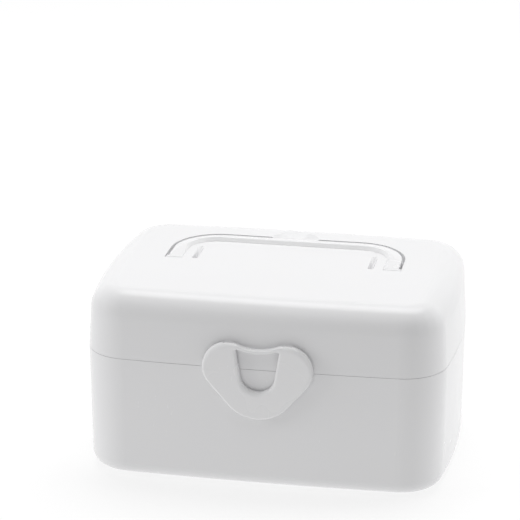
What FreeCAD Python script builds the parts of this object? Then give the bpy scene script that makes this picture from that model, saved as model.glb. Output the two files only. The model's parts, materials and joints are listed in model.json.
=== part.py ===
import FreeCAD, Part
import math
import os
import re
import Sketcher

# Portable sewing bobbin winder in a clamshell case with a carrying handle.
# Frame: millimetres, +Z up, the front of the case faces -Y, +X is to the right.
# The origin is on the table, below the middle of the closed case.

DOC = FreeCAD.newDocument("bobbin_winder")
SHEET = DOC.addObject("Spreadsheet::Sheet", "Sizes")
VEC = FreeCAD.Vector
SIZES = {
    "case": {
        "case_width": 165.0,
        "case_depth": 115.0,
        "case_height": 86.0,
        "parting_height": 56.6,
        "parting_gap": 0.2,
        "wall": 2.4,
        "corner_radius": 20.0,
        "front_bow_radius": 1290.0,
        "side_bow_radius": 300.0,
        "base_draft": 0.65,
        "lid_draft": 3.5,
        "bottom_round": 6.0,
        "top_round": 11.4,
        "bottom_chamfer": 3.2,
        "top_chamfer": 6.5,
        "lip_height": 1.6,
        "lip_thick": 1.0,
        "lip_gap": 0.3,
        "foot_proud": 1.0,
        "foot_radius": 6.0,
        "foot_thick": 2.0,
        "post_inset": 21.5,
        "post_setback": 19.5,
        "post_radius": 3.6,
        "fit_gap": 0.02,
        "running_gap": 0.05,
        "body_gap": 0.35,
        "overcut": 1.0,
    },
    "hinge": {
        "hinge_offset": 1.4,
        "barrel_radius": 2.8,
        "hinge_pin_radius": 1.0,
        "hinge_spacing": 92.0,
        "lid_knuckle": 12.0,
        "base_knuckle": 6.0,
        "hinge_rib": 0.8,
        "hinge_pin_inset": 0.2,
    },
    "handle": {
        "handle_half_span": 52.7,
        "handle_setback": 23.5,
        "handle_length": 34.4,
        "arm_width": 6.6,
        "grip_width": 9.4,
        "handle_corner": 21.0,
        "handle_inner_corner": 13.0,
        "handle_end_radius": 2.5,
        "crest_height": 1.4,
        "crest_slope": 12.5,
        "inner_slope": 38.0,
        "recess_depth": 5.6,
        "recess_gap": 1.5,
        "inner_gap": 0.3,
        "recess_front_gap": 0.7,
        "recess_wall": 2.0,
        "handle_pin_radius": 1.2,
        "pin_grip": 1.6,
        "hub_relief": 0.3,
        "scoop_radius": 24.0,
        "scoop_depth": 3.0,
        "scoop_shift": 1.0,
        "slot_inset": 5.8,
        "slot_width": 3.0,
        "slot_lead": 0.2,
        "slot_length": 16.6,
        "slot_depth": 5.2,
        "slot_shallow": 0.3,
    },
    "latch": {
        "latch_gap": 0.4,
        "latch_thick": 3.0,
        "latch_rim": 1.3,
        "lobe_x": 12.9,
        "lobe_z": 1.2,
        "lobe_radius": 11.5,
        "dip_radius": 22.5,
        "tip_z": -5.0,
        "tip_radius": 17.2,
        "latch_bar": 1.6,
        "thumb_top": 9.9,
        "thumb_z": -1.8,
        "thumb_radius": 7.7,
        "latch_pivot_z": 11.1,
        "latch_pivot_depth": 1.3,
        "latch_pin_radius": 0.5,
        "latch_pin_grip": 1.2,
        "lug_radius": 0.9,
        "lug_width": 4.0,
        "latch_relief": 0.4,
        "ridge_drop": 14.0,
        "ridge_radius": 0.6,
        "ridge_width": 14.0,
        "ridge_side_gap": 2.0,
        "catch_depth": 0.9,
        "catch_height": 5.0,
        "lip_relief": 0.35,
    },
    "deck": {
        "motor_floor_gap": 0.6,
        "deck_thick": 2.4,
        "deck_inset": 3.0,
        "screw_radius": 1.3,
        "screw_head_radius": 2.5,
        "screw_head": 1.4,
        "screw_bite": 8.0,
        "drive_width": 0.7,
    },
    "thread path": {
        "spool_inset": 38.5,
        "spool_y": -8.0,
        "spool_pin_radius": 2.5,
        "spool_pin_height": 38.0,
        "spool_boss_radius": 3.2,
        "spool_boss_lead": 0.7,
        "spool_tip": 1.0,
        "spool_tip_radius": 1.7,
        "spool_flange_radius": 10.0,
        "spool_flange": 2.5,
        "felt_radius": 9.0,
        "felt_thick": 1.6,
        "peg_radius": 2.0,
        "tension_offset": 28.0,
        "tension_setback": 19.5,
        "tension_post_radius": 1.5,
        "tension_base_radius": 5.0,
        "tension_base": 4.0,
        "disc_height": 10.5,
        "disc_radius": 7.5,
        "disc_land": 3.4,
        "disc_dish": 1.2,
        "disc_thick": 0.5,
        "disc_gap": 0.1,
        "spring_radius": 3.0,
        "spring_wire": 0.6,
        "spring_length": 6.0,
        "spring_turns": 4.0,
        "knob_radius": 5.5,
        "knob_height": 6.0,
        "knob_flute": 0.8,
        "rivet_radius": 2.2,
        "rivet_height": 0.8,
        "guide_offset": 10.0,
        "guide_height": 24.0,
        "guide_stem": 0.9,
        "guide_ring": 3.4,
        "guide_eye": 1.9,
        "guide_thick": 2.2,
        "cutter_inset": 24.5,
        "cutter_setback": 25.5,
        "cutter_length": 14.0,
        "cutter_width": 7.0,
        "cutter_height": 9.0,
        "cutter_slot": 1.2,
        "cutter_slot_depth": 5.0,
        "blade_thick": 0.4,
        "blade_length": 8.0,
        "blade_height": 4.0,
    },
    "winder": {
        "spindle_inset": 44.5,
        "spindle_setback": 59.5,
        "spindle_radius": 3.0,
        "spindle_shaft_radius": 2.5,
        "spindle_lead": 0.5,
        "spindle_tip": 1.0,
        "spindle_tip_radius": 2.2,
        "spindle_top": 20.0,
        "spindle_tail": 1.8,
        "seat_radius": 10.0,
        "seat_thick": 1.6,
        "seat_top": 4.0,
        "seat_hub_radius": 5.0,
        "bush_radius": 4.6,
        "bush_flange_radius": 6.2,
        "bush_flange": 0.7,
        "bush_drop": 0.8,
        "lower_bush_length": 8.0,
        "circlip_thick": 0.6,
        "circlip_radius": 4.6,
        "circlip_groove": 0.5,
        "gear_pitch": 0.5,
        "spindle_teeth": 44,
        "motor_teeth": 11,
        "gear_thick": 3.0,
        "gear_gap": 1.3,
        "backlash": 0.08,
        "tooth_height": 0.35,
        "root_depth": 0.48,
        "pressure_angle": 20.0,
        "plate_drop": 6.0,
        "plate_thick": 1.2,
        "plate_half_width": 21.0,
        "plate_depth": 28.0,
        "plate_shift": 3.0,
        "plate_post": 16.5,
        "motor_radius": 10.0,
        "motor_flat": 7.5,
        "motor_length": 24.0,
        "endcap_length": 3.0,
        "motor_boss_radius": 3.0,
        "motor_boss": 0.9,
        "motor_shaft_radius": 1.0,
        "motor_screw": 7.2,
        "small_screw_radius": 0.9,
        "small_head_radius": 1.8,
        "small_head": 1.1,
        "terminal_width": 2.2,
        "terminal_thick": 0.5,
        "terminal_length": 3.0,
    },
    "stop lever": {
        "lever_inset": 21.5,
        "lever_offset": 23.0,
        "finger_reach": 14.4,
        "lever_hub_radius": 5.0,
        "lever_shaft_radius": 2.0,
        "lever_arm_width": 6.0,
        "lever_arm_thick": 3.5,
        "lever_arm_height": 17.0,
        "finger_radius": 1.8,
        "finger_bottom": 5.6,
        "sleeve_radius": 3.0,
        "sleeve_bottom": 6.2,
        "sleeve_length": 8.6,
        "tab_length": 9.0,
        "tab_height": 5.0,
        "tab_thick": 2.5,
        "switch_arm_length": 12.0,
        "switch_arm_width": 3.0,
        "switch_arm_thick": 3.0,
        "switch_arm_drop": 1.8,
        "switch_thick": 6.4,
        "switch_length": 20.0,
        "switch_height": 10.0,
        "switch_reach": 5.5,
        "switch_offset": 10.0,
        "plunger_offset": 11.0,
        "plunger_proud": 1.3,
        "plunger_travel": 1.1,
        "plunger_width": 2.0,
        "plunger_bury": 2.0,
        "rib_thick": 2.0,
        "switch_screw": 7.5,
        "switch_screw_rise": 3.0,
    },
    "power": {
        "bay_inset": 48.5,
        "bay_length": 54.0,
        "bay_width": 31.0,
        "door_lap": 4.0,
        "door_thick": 1.3,
        "door_gap": 0.15,
        "door_edge_gap": 0.3,
        "door_travel": 3.2,
        "hook_width": 7.0,
        "hook_thick": 1.2,
        "hook_neck": 2.4,
        "hook_reach": 2.2,
        "hook_y": 8.5,
        "grip_groove": 0.5,
        "grip_groove_width": 1.2,
        "tray_length": 65.0,
        "tray_width": 36.0,
        "tray_height": 17.0,
        "tray_wall": 1.5,
        "cell_y": 7.8,
        "cell_z": 11.2,
        "leaf_thick": 0.5,
        "leaf_width": 6.0,
        "leaf_rise": 3.0,
        "plate_size": 8.0,
        "jack_x": -20.0,
        "jack_z": 16.0,
        "jack_radius": 4.0,
        "jack_bore": 2.8,
        "jack_width": 9.0,
        "jack_height": 11.0,
        "jack_length": 12.0,
        "jack_pin_radius": 1.0,
        "jack_pin_length": 8.0,
        "jack_socket": 9.0,
        "nut_radius": 5.5,
        "nut_thick": 1.2,
        "jack_reach": 0.8,
        "jack_stand": 0.25,
    },
}
# Places that follow from the sizes. A formula may name them as it names a size.
PLACES = {
    "post_x": "case_width/2 - post_inset",
    "post_y": "case_depth/2 - post_setback",
    "handle_rear": "case_depth/2 - handle_setback",
    "handle_front": "case_depth/2 - handle_setback - handle_length",
    "slot_x": "handle_half_span - arm_width - slot_inset",
    "spool_x": "spool_inset - case_width/2",
    "guide_x": "spool_inset + guide_offset - case_width/2",
    "guide_y": "case_depth/2 - tension_setback",
    "tension_x": "spool_inset + guide_offset + tension_offset - case_width/2",
    "tension_y": "case_depth/2 - tension_setback",
    "cutter_x": "case_width/2 - cutter_inset",
    "cutter_y": "case_depth/2 - cutter_setback",
    "spindle_x": "case_width/2 - spindle_inset",
    "spindle_y": "spindle_setback - case_depth/2",
    "lever_x": "case_width/2 - lever_inset",
    "lever_y": "spindle_setback - case_depth/2 - lever_offset",
    "finger_x": "case_width/2 - spindle_inset + finger_reach",
    "switch_x": "case_width/2 - lever_inset + switch_reach",
    "switch_y": "spindle_setback - case_depth/2 - lever_offset - switch_offset",
    "plunger_y": "spindle_setback - case_depth/2 - lever_offset - plunger_offset",
    "bay_x": "bay_inset - case_width/2",
}
NAMES = set()
row = 0
for group_name, cells in SIZES.items():
    for alias, number in cells.items():
        row += 1
        SHEET.set(f"A{row}", group_name)
        SHEET.set(f"B{row}", alias.replace("_", " "))
        SHEET.set(f"C{row}", str(number))
        SHEET.setAlias(f"C{row}", alias)
        NAMES.add(alias)
DOC.recompute()
PIECES = {}

# Heights and lines that several sub-parts share, as formulas of the sizes.
TOP = "case_height"
FLOOR = "(foot_proud + wall)"
PLATE_TOP = f"({FLOOR} + motor_floor_gap + motor_length + plate_thick)"
PLATE_UNDER = f"({FLOOR} + motor_floor_gap + motor_length)"
DECK_UNDER = f"({PLATE_TOP} + plate_drop)"
DECK = f"({DECK_UNDER} + deck_thick)"
HINGE_Y = "(case_depth/2 - hinge_spacing^2/(8*front_bow_radius) + hinge_offset)"
HINGE_GROUP = "(lid_knuckle + 2*base_knuckle + 2*body_gap)"
PIVOT_Y = "(handle_front + handle_end_radius)"
PIVOT_Z = "(case_height - handle_end_radius)"
LATCH_REAR = "(case_depth/2 + latch_gap)"
LATCH_PIVOT_Y = "-(case_depth/2 + latch_gap + latch_pivot_depth)"
LATCH_PIVOT_Z = "(parting_height + latch_pivot_z)"
DIP_Z = "(lobe_z + sqrt((dip_radius + lobe_radius)^2 - lobe_x^2))"
GEAR_TOP = f"({DECK_UNDER} - gear_gap)"
SWITCH_SCREW_Z = f"({DECK_UNDER} - switch_height + switch_screw_rise)"
MOTOR_Y = "(spindle_y - gear_pitch*(spindle_teeth + motor_teeth)/2)"
DISCS = f"({DECK} + disc_height)"
DOOR_LENGTH = "(bay_length + 2*door_lap)"
DOOR_WIDTH = "(bay_width + 2*door_lap)"
JACK_WALL = "(case_depth/2 - (parting_height - jack_z)*tan(base_draft) - jack_x^2/(2*front_bow_radius))"


def size(alias):
    return float(getattr(SHEET, alias))


def swap(text, change):
    """Write places out as sizes, and change the name of each size in a formula."""
    full = re.sub(
        r"[a-z][a-z_]*[a-z]",
        lambda word: f"({PLACES[word.group()]})" if word.group() in PLACES else word.group(),
        str(text),
    )
    return re.sub(
        r"[a-z][a-z_]*[a-z]",
        lambda word: change(word.group()) if word.group() in NAMES else word.group(),
        full,
    )


def formula(text):
    return swap(text, lambda alias: "Sizes." + alias)


def amount(text):
    return FreeCAD.Units.Quantity(swap(text, lambda alias: f"({size(alias)})")).Value


def bind(thing, **formulas):
    for place, text in formulas.items():
        thing.setExpression(place.replace("__", "."), formula(text))
    return thing


def put(thing, x, y, z):
    return bind(thing, Placement__Base__x=x, Placement__Base__y=y, Placement__Base__z=z)


def box(name, x, y, z, length, depth, height):
    """A block centred on x and y that stands on z."""
    block = DOC.addObject("Part::Box", name)
    bind(block, Length=length, Width=depth, Height=height)
    return put(block, f"{x} - ({length})/2", f"{y} - ({depth})/2", z)


TURNS = {
    "z": FreeCAD.Rotation(VEC(0, 0, 1), 0),
    "x": FreeCAD.Rotation(VEC(0, 1, 0), 90),
    "y": FreeCAD.Rotation(VEC(1, 0, 0), -90),
}


def rod(name, x, y, z, radius, length, along="z"):
    """A cylinder that starts at x, y, z and runs along a positive axis."""
    cylinder = DOC.addObject("Part::Cylinder", name)
    bind(cylinder, Radius=radius, Height=length)
    cylinder.Placement.Rotation = TURNS[along]
    return put(cylinder, x, y, z)


def ramp(name, x, y, z, width, length, front_depth, rear_depth):
    """A cutter centred on x and y, whose floor rises from front_depth below z to rear_depth below z."""
    wedge = DOC.addObject("Part::Wedge", name)
    wedge.Xmin = wedge.X2min = wedge.Ymin = 0
    bind(wedge, Xmax=width, X2max=width, Ymax=length, Zmin=f"-({front_depth})",
         Z2min=f"-({rear_depth})", Zmax="overcut", Z2max="overcut")
    return put(wedge, f"{x} - ({width})/2", f"{y} - ({length})/2", z)


def cone(name, x, y, z, low_radius, high_radius, length):
    frustum = DOC.addObject("Part::Cone", name)
    bind(frustum, Radius1=low_radius, Radius2=high_radius, Height=length)
    return put(frustum, x, y, z)


def ball(name, x, y, z, radius):
    sphere = DOC.addObject("Part::Sphere", name)
    bind(sphere, Radius=radius)
    return put(sphere, x, y, z)


def fuse(name, *shapes):
    union = DOC.addObject("Part::MultiFuse", name)
    union.Shapes = list(shapes)
    return union


def cut(name, base, *tools):
    result = DOC.addObject("Part::Cut", name)
    result.Base = base
    result.Tool = tools[0] if len(tools) == 1 else fuse(name + "_tools", *tools)
    return result


def common(name, first, second):
    result = DOC.addObject("Part::Common", name)
    result.Base = first
    result.Tool = second
    return result


def group(name, *solids):
    several = DOC.addObject("Part::Compound", name)
    several.Links = list(solids)
    return several


def tube(name, x, y, z, radius, bore, length, along="z"):
    return cut(
        name,
        rod(name + "_outside", x, y, z, radius, length, along),
        rod(name + "_bore", x, y, z, bore, length, along),
    )


def piece(node, thing):
    thing.Label = node
    PIECES[node] = thing
    return thing


def sketch_on(body, name, role, offset):
    sketch = body.newObject("Sketcher::SketchObject", name)
    base = next(feature for feature in body.Origin.OriginFeatures if feature.Role == role)
    sketch.AttachmentSupport = [(base, "")]
    sketch.MapMode = "FlatFace"
    return bind(sketch, AttachmentOffset__Base__z=offset)


def drive(sketch, kind, *places, by):
    """Add a dimension that is driven by a formula."""
    index = sketch.addConstraint(Sketcher.Constraint(kind, *places, amount(by)))
    sketch.setExpression(f"Constraints[{index}]", formula(by))


def rule(sketch, *constraints):
    sketch.addConstraint([Sketcher.Constraint(*item) for item in constraints])


def arc(x, y, radius, first, last):
    return Part.ArcOfCircle(Part.Circle(VEC(x, y, 0), VEC(0, 0, 1), radius), first, last)


def line(start, end):
    return Part.LineSegment(VEC(*start, 0), VEC(*end, 0))


def chain(sketch, kind, loop):
    """Join each end point of the loop to the start point of the next curve."""
    for here, after in zip(loop, loop[1:] + loop[:1]):
        rule(sketch, (kind, here, 2, after, 1))


def pad(body, name, sketch, length, draft="0", down=False):
    """Pad a sketch; a positive draft draws the far end in, a negative one spreads it."""
    feature = body.newObject("PartDesign::Pad", name)
    feature.Profile = sketch
    feature.Reversed = down
    bind(feature, Length=length, TaperAngle=f"-({draft})")
    body.Tip = feature
    return feature


def case_outline(body, name, z, inset):
    """The plan of the case: four slightly bowed sides and four corner arcs, moved in by inset."""
    sketch = sketch_on(body, name, "XY_Plane", z)
    front, side, corner = size("front_bow_radius"), size("side_bow_radius"), size("corner_radius")
    front_y, side_x = front - size("case_depth") / 2, side - size("case_width") / 2
    span = math.hypot(front_y, side_x)
    along = ((front - corner) ** 2 - (side - corner) ** 2 + span**2) / (2 * span)
    across = math.sqrt((front - corner) ** 2 - along**2)
    x = (front_y * across - side_x * along) / span
    y = (front_y * along + side_x * across) / span - front_y
    low = math.atan2(-y - front_y, x)
    right = math.atan2(-y, x + side_x)
    half = math.pi
    sketch.addGeometry([
        arc(0, front_y, front, -half - low, low),
        arc(-side_x, 0, side, right, -right),
        arc(0, -front_y, front, -low, half + low),
        arc(side_x, 0, side, half + right, half - right),
        arc(x, -y, corner, low, right),
        arc(x, y, corner, -right, -low),
        arc(-x, y, corner, half + low, half + right),
        arc(-x, -y, corner, half - right, half - low),
    ], False)
    chain(sketch, "Tangent", [0, 4, 1, 5, 2, 6, 3, 7])
    rule(sketch, ("Equal", 0, 2), ("Equal", 1, 3), ("Equal", 4, 5), ("Equal", 5, 6), ("Equal", 6, 7))
    rule(sketch, ("PointOnObject", 0, 3, -2), ("PointOnObject", 2, 3, -2))
    rule(sketch, ("PointOnObject", 1, 3, -1), ("PointOnObject", 3, 3, -1))
    drive(sketch, "Radius", 0, by=f"front_bow_radius - ({inset})")
    drive(sketch, "Radius", 1, by=f"side_bow_radius - ({inset})")
    drive(sketch, "Radius", 4, by=f"corner_radius - ({inset})")
    drive(sketch, "DistanceY", -1, 1, 0, 3, by="front_bow_radius - case_depth/2")
    drive(sketch, "DistanceY", 2, 3, -1, 1, by="front_bow_radius - case_depth/2")
    drive(sketch, "DistanceX", 1, 3, -1, 1, by="side_bow_radius - case_width/2")
    drive(sketch, "DistanceX", -1, 1, 3, 3, by="side_bow_radius - case_width/2")
    return sketch


def case_form(name, inset, start, length, draft="0", edge=None, kind="Fillet", down=False):
    """A solid on the case outline, drafted, with its far edge rounded or chamfered."""
    body = DOC.addObject("PartDesign::Body", name)
    plan = case_outline(body, name + "_plan", start, inset)
    walls = pad(body, name + "_walls", plan, length, draft, down)
    DOC.recompute()
    if edge:
        far = walls.Shape.BoundBox.ZMin if down else walls.Shape.BoundBox.ZMax
        near = 1e-3
        rims = [
            f"Edge{number}"
            for number, rim in enumerate(walls.Shape.Edges, 1)
            if abs(rim.BoundBox.ZMin - far) < near and abs(rim.BoundBox.ZMax - far) < near
        ]
        finish = body.newObject("PartDesign::" + kind, name + "_edge")
        finish.Base = (walls, rims)
        finish.setExpression("Radius" if kind == "Fillet" else "Size", formula(edge))
        DOC.recompute()
    return body


def arch_outline(body, name, z, half_span, front, rear, corner):
    """A plan with a straight front, straight sides and two round rear corners."""
    sketch = sketch_on(body, name, "XY_Plane", z)
    a, f, r, c = amount(half_span), amount(front), amount(rear), amount(corner)
    sketch.addGeometry([
        line((-a, f), (a, f)),
        line((a, f), (a, r - c)),
        arc(a - c, r - c, c, 0, math.pi / 2),
        line((a - c, r), (c - a, r)),
        arc(c - a, r - c, c, math.pi / 2, math.pi),
        line((-a, r - c), (-a, f)),
    ], False)
    rule(sketch, ("Coincident", 0, 2, 1, 1), ("Coincident", 5, 2, 0, 1))
    rule(sketch, ("Tangent", 1, 2, 2, 1), ("Tangent", 2, 2, 3, 1))
    rule(sketch, ("Tangent", 3, 2, 4, 1), ("Tangent", 4, 2, 5, 1))
    rule(sketch, ("Horizontal", 3), ("Vertical", 1), ("Vertical", 5), ("Equal", 2, 4))
    rule(sketch, ("Symmetric", 0, 1, 0, 2, -2))
    drive(sketch, "Radius", 2, by=corner)
    drive(sketch, "DistanceX", 0, 1, 0, 2, by=f"2*({half_span})")
    drive(sketch, "DistanceY", 0, 2, 3, 1, by=f"({rear}) - ({front})")
    drive(sketch, "DistanceY", -1, 1, 3, 1, by=rear)
    return sketch


def arch_form(name, half_span, front, rear, corner, start, height, rise="0", slope="0"):
    """A solid on an arch plan, and above it a second step whose sides slope."""
    body = DOC.addObject("PartDesign::Body", name)
    plan = arch_outline(body, name + "_plan", start, half_span, front, rear, corner)
    pad(body, name + "_block", plan, height)
    DOC.recompute()
    if rise != "0":
        upper = f"({start}) + ({height})"
        plan = arch_outline(body, name + "_upper_plan", upper, half_span, front, rear, corner)
        pad(body, name + "_crown", plan, rise, slope)
        DOC.recompute()
    return body


def hinge_row(name, parts):
    """Cylinders on the hinge line: for each part a side, a start along x, a length and a radius."""
    rods = []
    for number, (side, start, length, radius) in enumerate(parts):
        x = f"{side}*hinge_spacing/2 + {start}"
        rods.append(rod(f"{name}_{number}", x, HINGE_Y, "parting_height", radius, length, "x"))
    return rods


def handle_pin_rods(name, radius, spare):
    """The two pivot pins of the handle, or their bores with a little spare length."""
    middle = "(handle_half_span + (recess_gap + pin_grip)/2 - arm_width/4)"
    length = f"(arm_width/2 + recess_gap + pin_grip + 2*{spare})"
    return [
        rod(f"{name}_{side}", f"{side}*{middle} - {length}/2", PIVOT_Y, PIVOT_Z, radius, length, "x")
        for side in (-1, 1)
    ]


# ---- lid ----
LID_HEIGHT = "(case_height - parting_height - parting_gap)"
lid_skin = cut(
    "lid_skin",
    case_form("lid_outside", "0", "parting_height + parting_gap", LID_HEIGHT,
              "lid_draft", "top_round"),
    case_form("lid_hollow", "wall", "parting_height - wall", "case_height - parting_height",
              "lid_draft", "top_chamfer", "Chamfer"),
)
recess = cut(
    "handle_recess",
    arch_form("recess_outside", "handle_half_span + recess_gap", "handle_front - recess_front_gap",
              "handle_rear + recess_gap", "handle_corner + recess_gap",
              f"{TOP} - recess_depth", "recess_depth + wall"),
    arch_form("recess_island", "handle_half_span - arm_width - inner_gap", "handle_front - wall",
              "handle_rear - grip_width - inner_gap", "handle_inner_corner - inner_gap",
              f"{TOP} - recess_depth", "recess_depth + wall"),
)
pan = cut(
    "handle_pan",
    arch_form("pan_outside", "handle_half_span + recess_gap + recess_wall",
              "handle_front - recess_front_gap - recess_wall", "handle_rear + recess_gap + recess_wall",
              "handle_corner + recess_gap + recess_wall",
              f"{TOP} - recess_depth - recess_wall", "recess_depth + recess_wall - wall/2"),
    arch_form("pan_island", "handle_half_span - arm_width - inner_gap - recess_wall",
              "handle_front - 3*recess_wall", "handle_rear - grip_width - inner_gap - recess_wall",
              "handle_inner_corner - inner_gap - recess_wall",
              f"{TOP} - recess_depth - recess_wall", "recess_depth + recess_wall - wall"),
)
SCOOP_Y = "handle_rear - scoop_shift"
SCOOP_Z = f"{TOP} + scoop_radius - scoop_depth"
scoop = common(
    "finger_scoop", ball("scoop_ball", "0", SCOOP_Y, SCOOP_Z, "scoop_radius"),
    box("scoop_room", "0", "handle_rear - grip_width/2 + scoop_radius", f"{TOP} - 2*scoop_depth",
        "2*scoop_radius", "2*scoop_radius", "3*scoop_depth"),
)
scoop_back = common(
    "scoop_back",
    ball("scoop_back_ball", "0", SCOOP_Y, SCOOP_Z, "scoop_radius + recess_wall"),
    box("scoop_back_room", "0", SCOOP_Y, f"{TOP} - 2*wall - scoop_depth", "2*scoop_radius",
        "2*scoop_radius", "scoop_depth + 3*wall/2"),
)
slots = [
    ramp(f"lid_slot_{side}", f"{side}*slot_x", "handle_front - slot_lead + slot_length/2", TOP,
         "slot_width", "slot_length", "slot_depth", "slot_shallow")
    for side in (-1, 1)
]
hinge_notches = hinge_row("hinge_notch", [
    (side, f"-{HINGE_GROUP}/2 - body_gap", f"{HINGE_GROUP} + 2*body_gap", "barrel_radius + body_gap")
    for side in (-1, 1)
])
lid_knuckles = hinge_row("lid_knuckle", [
    (side, "-lid_knuckle/2", "lid_knuckle", "barrel_radius") for side in (-1, 1)
])
lid_webs = [
    box(f"lid_web_{side}", f"{side}*hinge_spacing/2", f"{HINGE_Y} - (hinge_offset + wall)/2",
        "parting_height + parting_gap", "lid_knuckle", "hinge_offset + wall",
        "barrel_radius + hinge_rib - parting_gap")
    for side in (-1, 1)
]
latch_lugs = [
    rod(f"latch_lug_{side}", f"{side}*lobe_x - lug_width/2", LATCH_PIVOT_Y, LATCH_PIVOT_Z,
        "lug_radius", "lug_width", "x")
    for side in (-1, 1)
]
latch_webs = [
    box(f"latch_web_{side}", f"{side}*lobe_x", f"{LATCH_PIVOT_Y} + (latch_gap + latch_pivot_depth + wall)/2",
        f"{LATCH_PIVOT_Z} - lug_radius", "lug_width", "latch_gap + latch_pivot_depth + wall",
        "2*lug_radius")
    for side in (-1, 1)
]
lip_room = case_form("lip_room", "wall - lip_thick - lip_gap", "parting_height - wall",
                     "wall + lip_height + lip_gap")
lid_pin_bores = hinge_row("lid_pin_bore", [
    (side, "-lid_knuckle", "2*lid_knuckle", "hinge_pin_radius + running_gap") for side in (-1, 1)
])
latch_bores = [
    rod(f"latch_lug_bore_{side}", f"{side}*lobe_x - lug_width", LATCH_PIVOT_Y, LATCH_PIVOT_Z,
        "latch_pin_radius + running_gap", "2*lug_width", "x")
    for side in (-1, 1)
]
handle_pin_bores = handle_pin_rods("handle_pin_bore", "handle_pin_radius + fit_gap", "fit_gap")
lid_body = fuse(
    "lid_body",
    cut("lid_wall", fuse("lid_top", lid_skin, pan, scoop_back), *hinge_notches),
    *lid_knuckles, *lid_webs, *latch_lugs, *latch_webs,
)
piece("lid_shell", cut(
    "lid_shell", lid_body, recess, scoop, *slots, lip_room, *lid_pin_bores, *latch_bores,
    *handle_pin_bores,
))

# ---- carrying handle ----
handle_plan = cut(
    "handle_plan",
    arch_form("handle_outside", "handle_half_span", "handle_front", "handle_rear", "handle_corner",
              f"{TOP} - 2*handle_end_radius", "2*handle_end_radius",
              "crest_height", "90 - crest_slope"),
    arch_form("handle_inside", "handle_half_span - arm_width", "handle_front - 2*arm_width",
              "handle_rear - grip_width", "handle_inner_corner",
              f"{TOP} - 3*handle_end_radius", "3*handle_end_radius",
              "2*crest_height", "inner_slope - 90"),
)
side_view = DOC.addObject("PartDesign::Body", "handle_side_view")
side_sketch = sketch_on(side_view, "handle_side_plan", "YZ_Plane", "-(handle_half_span + arm_width)")
radius = size("handle_end_radius")
pivot_y, pivot_z, back = amount(PIVOT_Y), amount(PIVOT_Z), amount("handle_rear + overcut")
rise = size("crest_height") * 1.5
side_sketch.addGeometry([
    arc(pivot_y, pivot_z, radius, math.pi / 2, 3 * math.pi / 2),
    line((pivot_y, pivot_z - radius), (back, pivot_z - radius)),
    line((back, pivot_z - radius), (back, pivot_z + radius + rise)),
    line((back, pivot_z + radius + rise), (pivot_y, pivot_z + radius)),
], False)
chain(side_sketch, "Coincident", [0, 1, 2, 3])
rule(side_sketch, ("Horizontal", 1), ("Vertical", 2), ("Vertical", 0, 1, 0, 2))
rule(side_sketch, ("Vertical", 0, 3, 0, 1))
drive(side_sketch, "Radius", 0, by="handle_end_radius")
drive(side_sketch, "DistanceX", -1, 1, 0, 3, by=PIVOT_Y)
drive(side_sketch, "DistanceY", -1, 1, 0, 3, by=PIVOT_Z)
drive(side_sketch, "DistanceX", 0, 3, 1, 2, by=f"handle_rear + overcut - {PIVOT_Y}")
drive(side_sketch, "DistanceY", 2, 1, 2, 2, by="2*handle_end_radius + 1.5*crest_height")
pad(side_view, "handle_side", side_sketch, "2*(handle_half_span + arm_width)")
HUB = "(recess_gap - body_gap)"
handle_hubs = [
    rod(f"handle_hub_{side}", f"{side}*(handle_half_span + {HUB}/2) - {HUB}/2", PIVOT_Y, PIVOT_Z,
        "handle_end_radius - hub_relief", HUB, "x")
    for side in (-1, 1)
]
handle_bores = handle_pin_rods("handle_bore", "handle_pin_radius + running_gap", "body_gap")
piece("carry_handle", cut(
    "carry_handle",
    fuse("handle_band", common("handle_arch", handle_plan, side_view), *handle_hubs),
    *handle_bores,
))
piece("handle_pins", group("handle_pins", *handle_pin_rods("handle_pin", "handle_pin_radius", "0")))

# ---- latch ----
latch_body = DOC.addObject("PartDesign::Body", "latch_plate")
latch_sketch = sketch_on(latch_body, "latch_plan", "XZ_Plane", LATCH_REAR)
parting = size("parting_height")
lobe_x, lobe_z, lobe_r = size("lobe_x"), parting + size("lobe_z"), size("lobe_radius")
tip_z, tip_r = parting + size("tip_z"), size("tip_radius")
dip_z, dip_r = parting + amount(DIP_Z), size("dip_radius")
reach = math.hypot(lobe_x, lobe_z - tip_z)
side_angle = math.atan2(lobe_z - tip_z, lobe_x) - math.acos((tip_r - lobe_r) / reach)
dip_angle = math.atan2(dip_z - lobe_z, -lobe_x)
half = math.pi


def on(x, z, radius, angle):
    return (x + radius * math.cos(angle), z + radius * math.sin(angle))


latch_sketch.addGeometry([
    arc(0, tip_z, tip_r, half - side_angle, 2 * half + side_angle),
    line(on(0, tip_z, tip_r, side_angle), on(lobe_x, lobe_z, lobe_r, side_angle)),
    arc(lobe_x, lobe_z, lobe_r, side_angle, dip_angle),
    arc(0, dip_z, dip_r, -dip_angle, dip_angle - half),
    arc(-lobe_x, lobe_z, lobe_r, half - dip_angle, half - side_angle),
    line(on(-lobe_x, lobe_z, lobe_r, half - side_angle), on(0, tip_z, tip_r, half - side_angle)),
], False)
rule(latch_sketch, ("Tangent", 0, 2, 1, 1), ("Tangent", 1, 2, 2, 1), ("Tangent", 2, 2, 3, 2))
rule(latch_sketch, ("Tangent", 3, 1, 4, 1), ("Tangent", 4, 2, 5, 1), ("Tangent", 5, 2, 0, 1))
rule(latch_sketch, ("Equal", 2, 4), ("Symmetric", 2, 3, 4, 3, -2), ("PointOnObject", 0, 3, -2))
drive(latch_sketch, "Radius", 0, by="tip_radius")
drive(latch_sketch, "Radius", 2, by="lobe_radius")
drive(latch_sketch, "Radius", 3, by="dip_radius")
drive(latch_sketch, "DistanceX", -1, 1, 2, 3, by="lobe_x")
drive(latch_sketch, "DistanceY", -1, 1, 2, 3, by="parting_height + lobe_z")
drive(latch_sketch, "DistanceY", -1, 1, 0, 3, by="parting_height + tip_z")
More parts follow.
